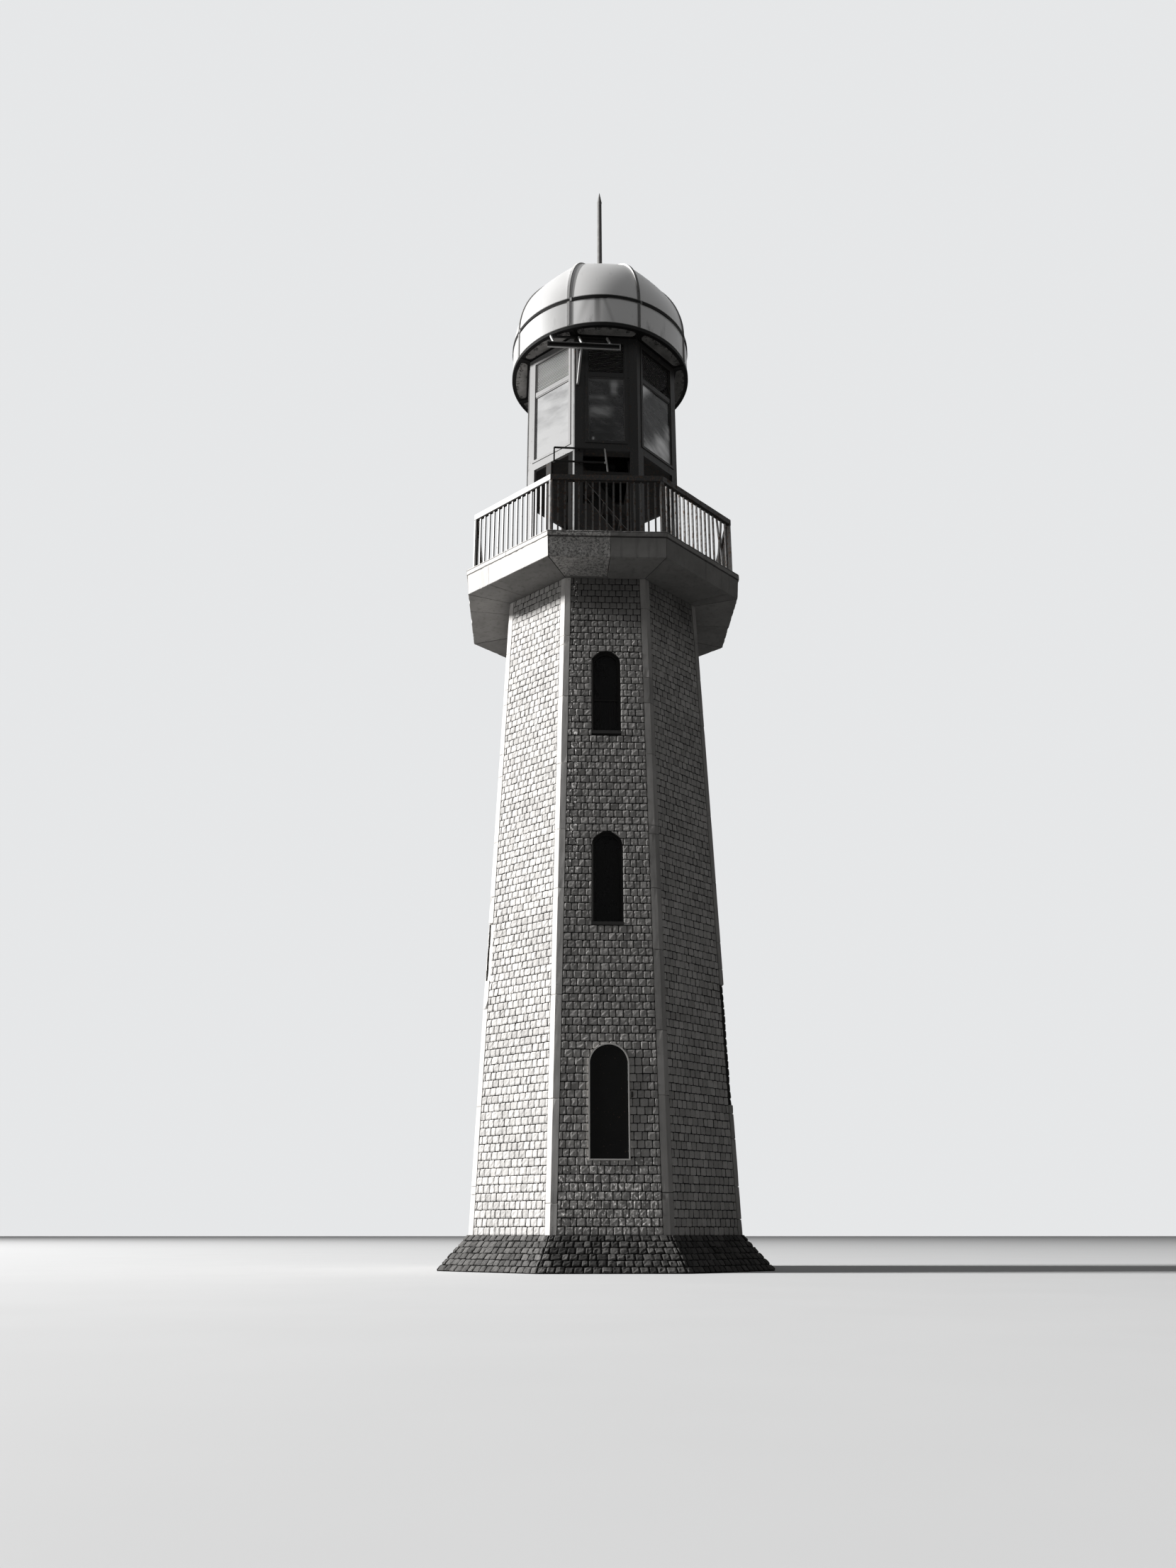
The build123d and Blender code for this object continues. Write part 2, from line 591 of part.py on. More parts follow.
save("dome_ribs", *around(Rot(0, 0, HALF_SECTOR) * rib.solid()))
save("dome_cap", cap)

# Spire on its collar, with a pointed finial
collar_top = cap_top + COLLAR_HEIGHT
spire_top = collar_top + SPIRE_HEIGHT
save("spire_collar", Pos(0, 0, cap_top) * Cone(COLLAR_R, SPIRE_FOOT_R, COLLAR_HEIGHT, align=STANDING))
save("spire", Pos(0, 0, collar_top) * Cone(SPIRE_FOOT_R, SPIRE_HEAD_R, SPIRE_HEIGHT, align=STANDING))
finial_corners = [(0, 0), (SPIRE_HEAD_R, 0), (FINIAL_R, FINIAL_SHOULDER), (FINIAL_TIP_R, FINIAL_HEIGHT), (0, FINIAL_HEIGHT)]
finial_outline = Polyline(*finial_corners, close=True)
finial_profile = Plane(origin=(0, 0, spire_top), x_dir=(1, 0, 0), z_dir=(0, -1, 0)) * make_face(finial_outline)
save("finial", revolve(finial_profile, Axis.Z))

# Service bracket: a bar on the lantern head, three sloping arms, a webbed double bar in front and its strut
def on_front(across, out, z):
    """A point in front of the lantern's front face."""
    return in_plan(0, across, LANTERN_FACE + out, z, LANTERN_TURN)


half_bar = BRACKET_BAR / 2
back_bar_z = LANTERN_TOP - TOP_RAIL_HEIGHT / 3
upper_bar_z = LANTERN_TOP - FRONT_BARS_DROP
lower_bar_z = upper_bar_z - FRONT_BARS_APART
bracket = beam(on_front(BACK_BAR_LEFT, half_bar, back_bar_z), on_front(BACK_BAR_RIGHT, half_bar, back_bar_z),
               BRACKET_BAR, BRACKET_BAR)
for bar_z in (upper_bar_z, lower_bar_z):
    left_end = on_front(FRONT_BARS_LEFT, FRONT_BARS_OUT, bar_z)
    right_end = on_front(FRONT_BARS_RIGHT, FRONT_BARS_OUT, bar_z)
    bracket += beam(left_end, right_end, BRACKET_BAR, BRACKET_BAR)
for across in (FRONT_BARS_LEFT + half_bar, FRONT_BARS_RIGHT - half_bar):
    top_end = on_front(across, FRONT_BARS_OUT, upper_bar_z)
    bracket += beam(top_end, on_front(across, FRONT_BARS_OUT, lower_bar_z), BRACKET_BAR, BRACKET_BAR)
web_out = FRONT_BARS_OUT - (BRACKET_BAR - FRONT_WEB) / 2
web_z = (upper_bar_z + lower_bar_z) / 2
web_ends = [on_front(across, web_out, web_z) for across in (FRONT_BARS_LEFT, FRONT_BARS_RIGHT)]
bracket += beam(*web_ends, FRONT_WEB, FRONT_BARS_APART)
back_middle = (BACK_BAR_LEFT + BACK_BAR_RIGHT) / 2
for across in (BACK_BAR_LEFT + ARM_INSET, back_middle, BACK_BAR_RIGHT - ARM_INSET):
    arm_foot = on_front(across + ARM_SKEW, FRONT_BARS_OUT, upper_bar_z)
    bracket += beam(on_front(across, BRACKET_BAR, back_bar_z), arm_foot, BRACKET_BAR, BRACKET_BAR)
strut_foot_z = LANTERN_TOP - STRUT_FOOT_DROP
strut_place = STRUT_INSET - LANTERN_HALF_SIDE
strut_foot = on_front(strut_place, half_bar, strut_foot_z)
bracket += beam(strut_foot, on_front(strut_place, half_bar, back_bar_z), BRACKET_BAR, BRACKET_BAR)
strut_head = on_front(strut_place + ARM_SKEW, FRONT_BARS_OUT, lower_bar_z)
bracket += beam(on_front(strut_place, BRACKET_BAR, strut_foot_z), strut_head, BRACKET_BAR, BRACKET_BAR)
save("service_bracket", bracket)

# Guard hoop: a thin rectangle of bar across the foot of the front pane, on stubs from the corner post
hoop_foot = HOOP_TOP - HOOP_HEIGHT
hoop_out = HOOP_STANDOFF + HOOP_BAR / 2
guard = beam(on_front(HOOP_LEFT, hoop_out, HOOP_TOP), on_front(HOOP_RIGHT, hoop_out, HOOP_TOP), HOOP_BAR, HOOP_BAR)
hoop_foot_right = HOOP_RIGHT + HOOP_SKEW * HOOP_HEIGHT / (HOOP_HEIGHT + HOOP_TAIL)
guard += beam(on_front(HOOP_LEFT, hoop_out, hoop_foot), on_front(hoop_foot_right, hoop_out, hoop_foot), HOOP_BAR, HOOP_BAR)
guard += beam(on_front(HOOP_LEFT, hoop_out, hoop_foot), on_front(HOOP_LEFT, hoop_out, HOOP_TOP), HOOP_BAR, HOOP_BAR)
tail_foot = on_front(HOOP_RIGHT + HOOP_SKEW, hoop_out, hoop_foot - HOOP_TAIL)
guard += beam(tail_foot, on_front(HOOP_RIGHT, hoop_out, HOOP_TOP), HOOP_BAR, HOOP_BAR)
stub_place = -LANTERN_HALF_SIDE + POST_LEG / 2
for stub_z in (hoop_foot, HOOP_TOP):
    guard += beam(on_front(stub_place, 0, stub_z), on_front(stub_place, hoop_out, stub_z), HOOP_BAR, HOOP_BAR)
save("guard_hoop", guard)
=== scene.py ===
from functools import partialmethod
from math import atan, cos, radians, sin, tan
import bmesh
import bpy
from mathutils import Matrix, Vector, noise


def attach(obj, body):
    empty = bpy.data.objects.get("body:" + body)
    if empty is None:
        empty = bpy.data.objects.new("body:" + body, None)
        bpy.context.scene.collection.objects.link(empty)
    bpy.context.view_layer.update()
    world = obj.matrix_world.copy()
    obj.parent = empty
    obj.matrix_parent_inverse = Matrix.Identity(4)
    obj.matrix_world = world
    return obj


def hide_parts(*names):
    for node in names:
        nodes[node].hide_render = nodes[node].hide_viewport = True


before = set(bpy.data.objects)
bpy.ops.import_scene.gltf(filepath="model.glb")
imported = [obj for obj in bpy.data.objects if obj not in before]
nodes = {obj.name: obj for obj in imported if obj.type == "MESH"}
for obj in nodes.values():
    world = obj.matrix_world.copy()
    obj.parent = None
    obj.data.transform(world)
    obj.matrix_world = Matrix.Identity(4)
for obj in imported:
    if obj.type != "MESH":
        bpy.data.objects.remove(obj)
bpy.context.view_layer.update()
# Unseeded, the vector noise that roughens the stones would change from run to run
noise.seed_set(5)

# Sizes of the lighthouse in metres. Face 0 looks towards -Y and faces count on towards +X.
# A radius runs to a corner of the octagon.
FACES = ["front", "front_right", "right", "back_right", "back", "back_left", "left", "front_left"]
SECTOR = radians(45)
TO_FACE = cos(SECTOR / 2)
HALF_SIDE = sin(SECTOR / 2)
MITRE = tan(SECTOR / 2)
PLINTH_FOOT_R = 2.665
PLINTH_TOP = 0.485
TOWER_FOOT_R = 2.2
TOWER_HEAD_R = 1.78
TOWER_TOP = 11.02
STRIP_WIDTH = 0.1
STRIP_THICKNESS = 0.12
SETT_BED = 0.02
SLAB_TOP = 11.395
SLAB_FOOT_R = 2.557
SLAB_HEAD_R = 2.583
COPING_R = 2.6
COPING_WIDTH = 0.38
DECK_TOP = 11.49
RAILING_R = 2.495
RAIL_WIDTH = 0.08
RAIL_UNDERSIDE = 12.53
RAILING_TOP = 12.63
BALUSTERS = 15
BALUSTER = 0.028
LANTERN_TURN = radians(2)
LANTERN_R = 1.5
LANTERN_FACE = LANTERN_R * TO_FACE
POST_LEG = 0.15
PANE_HALF = LANTERN_R * HALF_SIDE - POST_LEG
DOOR_HALF = PANE_HALF - 0.088
GLASS_FOOT = 13.955
GLASS_TOP = 15.34
LOUVRE_FOOT = 15.44
LOUVRE_TOP = 16.08
CANOPY_FOOT = 16.225
SKIRT_FOOT = 16.305
SKIRT_TOP = 16.85
DOME_FOOT = 16.925
RING_R = 1.725
BRACKET_BARS = (15.801, 15.92)
MIDDLE_WINDOW = (4.94, 1.51, 0.24, 0.185)
UPPER_WINDOW = (8.13, 1.5, 0.235, 0.17)
PLATE = (1.492, 1.656, 0.298, 0.28)
BATTER = (TOWER_FOOT_R - TOWER_HEAD_R) * TO_FACE / (TOWER_TOP - PLINTH_TOP)
RAIL_LINE = RAILING_R * TO_FACE - RAIL_WIDTH / 2
BALUSTER_OUT = RAIL_LINE + BALUSTER / 2
# Heights between which the painted shade under the balcony, the painted glints at the front's left edge
# and the painted glints at the foot fade
BALCONY_SHADE_BAND = (9.6, 10.9)
GLINT_BAND = (4.6, 6.4)
FOOT_GLINT_BAND = (1.1, 2.2)


def tower_r(z):
    """Corner radius of the tower at a height."""
    return TOWER_FOOT_R - (TOWER_FOOT_R - TOWER_HEAD_R) * (z - PLINTH_TOP) / (TOWER_TOP - PLINTH_TOP)


def on_face(face, across, out, z, turn=0.0):
    """A point on a side: across to the right as seen from outside, out from the axis."""
    angle = SECTOR * face + turn
    return Vector((across * cos(angle) + out * sin(angle), across * sin(angle) - out * cos(angle), z))


def face_frame(face, out, z, lean=0.0, turn=0.0):
    """Carries a flat pattern, x across and z up with -y outwards, onto a side that leans inwards."""
    place = Matrix.Translation((0, -out, z)) @ Matrix.Rotation(-lean, 4, "X")
    return Matrix.Rotation(SECTOR * face + turn, 4, "Z") @ place


class Quantity:
    """What comes out of a node. Arithmetic on it adds the Math nodes that work the result out."""

    def __init__(self, bench, socket):
        self.bench = bench
        self.socket = socket

    def maths(self, operation, *others):
        return self.bench.maths(operation, self, *others)

    __add__ = __radd__ = partialmethod(maths, "ADD")
    __mul__ = __rmul__ = partialmethod(maths, "MULTIPLY")
    __sub__ = partialmethod(maths, "SUBTRACT")
    __truediv__ = partialmethod(maths, "DIVIDE")
    __gt__ = partialmethod(maths, "GREATER_THAN")
    __lt__ = partialmethod(maths, "LESS_THAN")
    __abs__ = partialmethod(maths, "ABSOLUTE")
    at_least = partialmethod(maths, "MAXIMUM")
    at_most = partialmethod(maths, "MINIMUM")

    def __rsub__(self, other):
        return self.bench.maths("SUBTRACT", other, self)

    def covered(self, share, level, warmth=0.03):
        """A colour with a grey over a share of it."""
        return self.bench.blend(share, self, grey(level, warmth))

    def between(self, low, high):
        """Runs smoothly from 0 at low to 1 at high."""
        sizes = {"Value": self, "From Min": low, "From Max": high}
        return self.bench.node("ShaderNodeMapRange", {"interpolation_type": "SMOOTHSTEP"}, sizes)

    def within(self, low, high, soft):
        """1 from low to high and 0 outside, with soft edges."""
        return self.between(low - soft, low + soft) * (1 - self.between(high - soft, high + soft))


class Bench:
    """A node tree in the making, and the material that it belongs to."""

    def __init__(self, tree, finish=None):
        self.tree = tree
        self.finish = finish

    def node(self, kind, settings=None, sockets=None, out=None):
        """A new node: its first output, the one that out names, or a list of those that it names."""
        made = self.tree.nodes.new(kind)
        for name, value in (settings or {}).items():
            setattr(made, name, value)
        for key, value in (sockets or {}).items():
            if isinstance(key, int):
                socket = made.inputs[key]
            else:
                socket = next(s for s in made.inputs if s.name == key and s.enabled)
            if isinstance(value, Quantity):
                self.tree.links.new(value.socket, socket)
            else:
                socket.default_value = value
        live = {s.name: Quantity(self, s) for s in made.outputs if s.enabled}
        if isinstance(out, tuple):
            return [live[name] for name in out]
        return live[out] if out else next(iter(live.values()), None)

    def maths(self, operation, *terms):
        return self.node("ShaderNodeMath", {"operation": operation}, dict(enumerate(terms)))

    def vector(self, x, y, z):
        return self.node("ShaderNodeCombineXYZ", {}, {"X": x, "Y": y, "Z": z})

    def parts(self, vector):
        """The X, Y and Z of a vector."""
        return self.node("ShaderNodeSeparateXYZ", {}, {0: vector}, ("X", "Y", "Z"))

    def place(self):
        """Object coordinates as a vector."""
        return self.node("ShaderNodeTexCoord", out="Object")

    def axes(self):
        """The X, Y and Z of a point on the object."""
        return self.parts(self.place())

    def stretched(self, x, y, z):
        """Object coordinates scaled by a factor along each axis."""
        sockets = {0: self.place(), 1: (x, y, z)}
        return self.node("ShaderNodeVectorMath", {"operation": "MULTIPLY"}, sockets)

    def grain(self, scale, at=None, detail=4, roughness=0.55):
        """Fine to coarse mottling, 0 to 1 about a half."""
        sockets = {"Vector": at or self.place(), "Scale": scale, "Detail": detail, "Roughness": roughness}
        return self.node("ShaderNodeTexNoise", {}, sockets, "Fac")

    def blend(self, factor, first, second):
        """One colour over another."""
        sockets = {"Factor": factor, "A": first, "B": second}
        return self.node("ShaderNodeMix", {"data_type": "RGBA"}, sockets)

    def shades(self, share, low, high, warmth=0.03):
        """A grey between two."""
        return self.blend(share, grey(low, warmth), grey(high, warmth))

    def attribute(self, name):
        return self.node("ShaderNodeAttribute", {"attribute_name": name}, out="Fac")

    def surface(self, colour, roughness, height=None, depth=0.001, shine=0.5, **others):
        """Closes a material, with a bump of a depth in metres where there is a height, and returns it."""
        sockets = {"Base Color": colour, "Roughness": roughness, "Specular IOR Level": shine, **others}
        if height:
            bump = {"Strength": 0.8, "Distance": depth, "Height": height}
            sockets["Normal"] = self.node("ShaderNodeBump", {}, bump)
        shader = self.node("ShaderNodeBsdfPrincipled", {}, sockets)
        self.node("ShaderNodeOutputMaterial", {}, {"Surface": shader})
        return self.finish

    def chance(self, low, top, key, seed):
        """A random number for each key."""
        sockets = {"Min": low, "Max": top, "ID": key, "Seed": seed}
        return self.node("FunctionNodeRandomValue", {}, sockets)

    def moved(self, geometry, position):
        return self.node("GeometryNodeSetPosition", {}, {"Geometry": geometry, "Position": position})

    def copies(self, points, block, turn, size, chosen=True):
        """A block on each chosen point, made real."""
        sockets = {
            "Points": points, "Instance": block, "Rotation": turn, "Scale": size, "Selection": chosen
        }
        placed = self.node("GeometryNodeInstanceOnPoints", {}, sockets)
        return self.node("GeometryNodeRealizeInstances", {}, {"Geometry": placed})

    def result(self, geometry, finish):
        """Closes a Geometry Nodes tree with a material on what it makes."""
        dressed = self.node("GeometryNodeSetMaterial", {}, {"Geometry": geometry, "Material": finish})
        self.node("NodeGroupOutput", {}, {"Geometry": dressed})


def new_finish(name):
    """The bench of a new material."""
    finish = bpy.data.materials.new(name)
    finish.use_nodes = True
    finish.node_tree.nodes.clear()
    return Bench(finish.node_tree, finish)


def grey(level, warmth=0.03):
    """A near-neutral stone or paint colour."""
    return (level, level * (1 - warmth), level * (1 - 2.2 * warmth), 1)


def sunny_side(bench, past=0.0):
    """The sunlit side, where stone is painted paler as painted light: 1 to the left of a line that runs
    up past the tower's front left corner, and 0 to its right.
    """
    x, _, z = bench.axes()
    return 1 - (x + tower_r(z) * HALF_SIDE - past).between(-0.003, 0.003)


def split_stone(name, darkest, palest, grit):
    """Split-face stone: a tone for each sett under grain, pits and rain streaks, with painted light,
    shade and glints.
    """
    bench = new_finish(name)
    x, y, z = bench.axes()
    patches = bench.grain(1.3, detail=3)
    streaks = bench.grain(2.2, bench.stretched(3.5, 3.5, 0.45), detail=3)
    speckle = bench.grain(grit, detail=5, roughness=0.7)
    share = bench.attribute("tone") * 0.45 + patches * 0.4 + streaks * 0.35 + speckle * 0.7
    # Painted light: the setts are paler on the sunlit side.
    share = share - 0.6 + sunny_side(bench) * 0.35
    colour = bench.shades(share, darkest, palest)
    pits = bench.grain(grit * 2.2, detail=3, roughness=0.7).between(0.3, 0.42)
    colour = bench.blend(pits, grey(darkest * 0.55), colour)
    # Painted shade under the balcony, partly damp staining: darker towards the top of the shaded sides,
    # made patchy.
    damp_and_shade = z.between(*BALCONY_SHADE_BAND) * (0.45 + patches) * x.between(-0.75, -0.65)
    colour = colour.covered(damp_and_shade * 0.85, darkest * 0.3)
    # Painted shade: each sett darkens down its flanks into the joints, where shade falls.
    shaded_flank = 1 - bench.attribute("crown").between(0.33, 0.45)
    colour = colour.covered(shaded_flank, darkest * 0.12)
    # Painted glints: near-white metallic flecks on the front, near its left edge and on its lowest
    # courses.
    facets = bench.grain(27, bench.stretched(1.3, 1.3, 0.8), detail=2)
    front = (y < -1.6) * z.between(PLINTH_TOP, PLINTH_TOP + 0.1)
    edge = front * x.within(-0.72, -0.45, 0.04) * z.between(*GLINT_BAND) * facets.between(0.62, 0.66)
    foot = front * x.within(-0.8, 0.7, 0.05) * (1 - z.between(*FOOT_GLINT_BAND)) * facets.between(0.56, 0.66)
    glints = (edge + foot * 0.7) * (1 - shaded_flank) * 0.85
    colour = colour.covered(glints, 0.95)
    rough = 0.92 - glints * 0.55
    return bench.surface(colour, rough, speckle * 0.8 + pits * 0.4, 0.002, 0.15, Metallic=glints * 0.85)


def mortar(name, level):
    """Recessed mortar: dark, crumbling and wet in places."""
    bench = new_finish(name)
    crumbs = bench.grain(120, detail=5, roughness=0.7)
    damp_and_shade = bench.grain(1.7, detail=3)
    colour = bench.shades(crumbs * 0.6 + damp_and_shade * 0.6 - 0.2, level * 0.5, level)
    return bench.surface(colour, 0.97, crumbs, 0.004, 0.1)


def worked_grain(bench, stains_from):
    """The fine grain, the clouds and the run-off stains of worked stone."""
    fine = bench.grain(160, roughness=0.7)
    clouds = bench.grain(3.1, detail=5, roughness=0.62)
    stains = bench.grain(5, bench.stretched(2.4, 2.4, 0.22)).between(stains_from, 0.7)
    return fine, clouds, stains


def dressed_stone(name, darkest, palest, stained):
    """Smooth worked stone, with a tone for each block and chips, painted near white on its sunlit side as
    painted light.
    """
    bench = new_finish(name)
    fine, clouds, stains = worked_grain(bench, 0.46)
    share = bench.attribute("tone") * 0.18 + clouds * 0.7 + fine * 0.3 - 0.12
    colour = bench.shades(share, darkest, palest)
    # Painted light: near white on the sunlit side.
    colour = colour.covered(sunny_side(bench, STRIP_WIDTH + 0.01) * 0.8, 0.95)
    colour = colour.covered(stains * stained, darkest * 0.45)
    chips = bench.grain(38, detail=3, roughness=0.6).between(0.7, 0.74)
    colour = colour.covered(chips, darkest * 0.5)
    return bench.surface(colour, 0.88, fine * 0.5 + clouds * 0.3 - chips * 0.5, 0.003, 0.2)


def fascia_stone():
    """Balcony stone: pale on its sunny faces as painted light, pebbly in one block, dark along hips and
    joints, painted shade below.
    """
    bench = new_finish("balcony_stone")
    x, y, z = bench.axes()
    fine, clouds, stains = worked_grain(bench, 0.5)
    pebbles = bench.grain(24, roughness=0.8)
    off, bearing = corner_offset(bench, 0.0)
    cast = (x < 0.05) * (bearing > -SECTOR / 2) * (y < -1.7)
    share = bench.attribute("tone") * 0.18 + clouds * 0.6 + fine * 0.3 - 0.04
    upright = z.between(TOWER_TOP + 0.005, TOWER_TOP + 0.012)
    # Painted light: the upright faces on the sunny side are paler, more so towards the front, with fewer
    # stains.
    sunny = (1 - x.between(-0.99, -0.975)) * upright
    sunlit_stone = bench.shades(share + x.between(-2.4, -1.2) * 0.5, 0.58, 0.74)
    colour = bench.blend(sunny, bench.shades(share, 0.18, 0.5), sunlit_stone)
    colour = bench.blend(cast, colour, bench.shades(pebbles.between(0.44, 0.6), 0.68, 0.22))
    colour = colour.covered(stains * 0.3 * (1 - sunny * 0.7), 0.1)
    # Painted shade: the underside is darker.
    colour = colour.covered((1 - upright) * 0.25, 0.05)
    # The hips of the underside are dark joints. The line under the coping, fainter on the sunny side, and
    # the line just under the coping's top edge are painted shadows.
    hip = (1 - abs(off).between(0.004, 0.009)) * (1 - upright)
    coping_shadow = z.within(SLAB_TOP - 0.022, SLAB_TOP + 0.001, 0.005) * (1 - sunny * 0.9)
    nosing_shadow = z.within(DECK_TOP - 0.026, DECK_TOP - 0.012, 0.002)
    colour = colour.covered(hip.at_least(coping_shadow).at_least(nosing_shadow) * 0.85, 0.03)
    return bench.surface(colour, 0.88, fine * 0.4 + clouds * 0.3 + pebbles * cast, 0.004, 0.2)


def corner_offset(bench, turn):
    """How far a point lies to the right of an octagon's nearest corner, and its bearing."""
    x, y, _ = bench.axes()
    bearing = x.maths("ARCTAN2", 0 - y)
    steps = (bearing - turn) / SECTOR - 0.5
    reach = (x * x + y * y).maths("SQRT")
    return (steps - steps.maths("ROUND")) * SECTOR * reach, bearing


def paint(
    name, sunny, shaded, edge_x, rusted, gloss=0.42, shadow_below=0.0, baluster_top=0.0, sunlit_beyond=0.0
):
    """Brushed iron paint: painted light on the sunny side, painted shade and more wear and rust on the
    other.

    Below one height the posts near the front get a near-black matte painted shadow.
    Below another, the shaded side is painted paler as painted light on the balusters.
    Under the rail of the front left side, only faces that lie further out than a distance are painted
    sunlit;
    the faces further in get painted shade.
    """
    bench = new_finish(name)
    x, y, z = bench.axes()
    # Painted light and shade: left of a wandering line up past the front left corner the paint takes its
    # sunlit colour, to the right its shaded colour.
    line = x + (y + 1.3).at_least(0) * 0.35 + bench.grain(6, detail=2) * 0.02 - 0.01
    # Painted shadow: near-black matte paint below a height on the posts near the front.
    painted_shadow_low = (z < shadow_below) * (x > -1.2) * (x < -0.557)
    # Painted shade: under the rail of the front left side, faces further in than a distance take the
    # shaded colour.
    inner = ((x + y) * -cos(SECTOR) < sunlit_beyond) * (y < -0.8) * (z < baluster_top)
    turned = line.between(edge_x - 0.012, edge_x + 0.012).at_least(painted_shadow_low).at_least(inner)
    clouds = bench.grain(4, bench.stretched(1, 1, 0.35)) * 0.8
    brushed = bench.grain(45, bench.stretched(3, 3, 0.3), detail=3)
    # The sunlit colour is painted light and the shaded colour painted shade, both of one paint.
    pale = bench.shades(clouds + brushed * 0.3 - 0.05, sunny * 0.78, sunny, 0.012)
    shaded_paint = bench.shades(clouds + brushed * 0.4 - 0.1, shaded * 0.6, shaded * 1.2, 0.02)
    # Painted light: the shaded colour is paler below the balusters' top, where they catch light.
    shaded_paint = shaded_paint.covered((z < baluster_top) * (x > -0.85) * 0.7, shaded * 4, 0.02)
    colour = bench.blend(turned, pale, shaded_paint)
    flakes = bench.grain(26, bench.stretched(1, 1, 0.6), detail=5, roughness=0.7)
    wear = rusted * (0.25 + 0.75 * turned)
    bare = (flakes + wear * 0.2).between(0.66, 0.69)
    rust = bench.blend(bench.grain(60), (0.055, 0.040, 0.032, 1), (0.15, 0.105, 0.08, 1))
    colour = bench.blend(bare, colour, rust)
    colour = colour.covered(painted_shadow_low * 0.7, 0.004)
    rough = gloss + bare.at_least(painted_shadow_low) * (0.95 - gloss)
    return bench.surface(colour, rough, flakes * 0.15 - bare * 0.5 + brushed * 0.1, 0.0015, 0.12)


def dark_iron(name, level, rusted=0.5, lit_above=100.0):
    """Old dark paint on ironwork, dusty and rusting, with a painted highlight on what lies above a
    height.
    """
    bench = new_finish(name)
    clouds = bench.grain(7, detail=5)
    bloom = (bench.grain(19, detail=5, roughness=0.7) + rusted * 0.2).between(0.64, 0.74)
    dust = bench.grain(90, detail=3)
    share = clouds * 0.9 + dust * 0.3 - 0.1
    colour = bench.shades(share, level * 0.55, level * 1.3, 0.02)
    colour = bench.blend(bloom, colour, (0.10, 0.072, 0.056, 1))
    # Painted highlight: pale above a height, along the lit top edge of the canopy ring.
    colour = colour.covered(bench.axes()[2] > lit_above, 0.22)
    return bench.surface(colour, 0.6 + bloom * 0.35, dust * 0.3 + bloom * 0.5, 0.0012, 0.06)


def bracket_paint():
    """Black paint on the service bracket and the guard hoop, with painted highlights on the arms and
    edges.
    """
    bench = new_finish("bracket_paint")
    x, y, z = bench.axes()
    out = x * sin(LANTERN_TURN) - y * cos(LANTERN_TURN) - LANTERN_FACE
    across = x * cos(LANTERN_TURN) + y * sin(LANTERN_TURN)
    low, top = BRACKET_BARS
    high = z > GLASS_FOOT
    bars = high * (out > 0.172)
    edges = bars * ((z > top - 0.01) + (z < low + 0.01) + (across > 0.235))
    strut = high * (z < top + 0.1)
    arms = (1 - bars) * strut.at_least(high * (out > 0.036))
    leg = (1 - high) * (across > -0.05)
    wear_and_light = bench.grain(30)
    # Painted highlights where light catches the arms, the leg and the bar edges, broken in places by
    # wear.
    pale = (edges + arms + leg).at_most(1) * (1 - wear_and_light.between(0.6, 0.66) * 0.6)
    colour = bench.blend(pale, grey(0.014), grey(0.5, 0.012))
    return bench.surface(colour, 0.6, wear_and_light * 0.5, 0.001, 0.1)


def window_paint():
    """Dark paint on the window frames, with painted highlights along the left side and the foot."""
    bench = new_finish("window_paint")
    x, _, z = bench.axes()
    left = 1 - x.between(-0.222, -0.218)
    right = x.between(0.222, 0.226)
    foot = z.within(MIDDLE_WINDOW[0], MIDDLE_WINDOW[0] + 0.02, 0.001)
    dust = bench.grain(40)
    # Painted highlight: paler along the left side of the frame, less at its foot and right side, mottled
    # by dust.
    wear_and_light = left.at_least(foot * 0.3).at_least(right * 0.2)
    colour = bench.shades(wear_and_light * (0.5 + dust), 0.02, 0.3)
    return bench.surface(colour, 0.7, dust * 0.4, 0.001, 0.08)


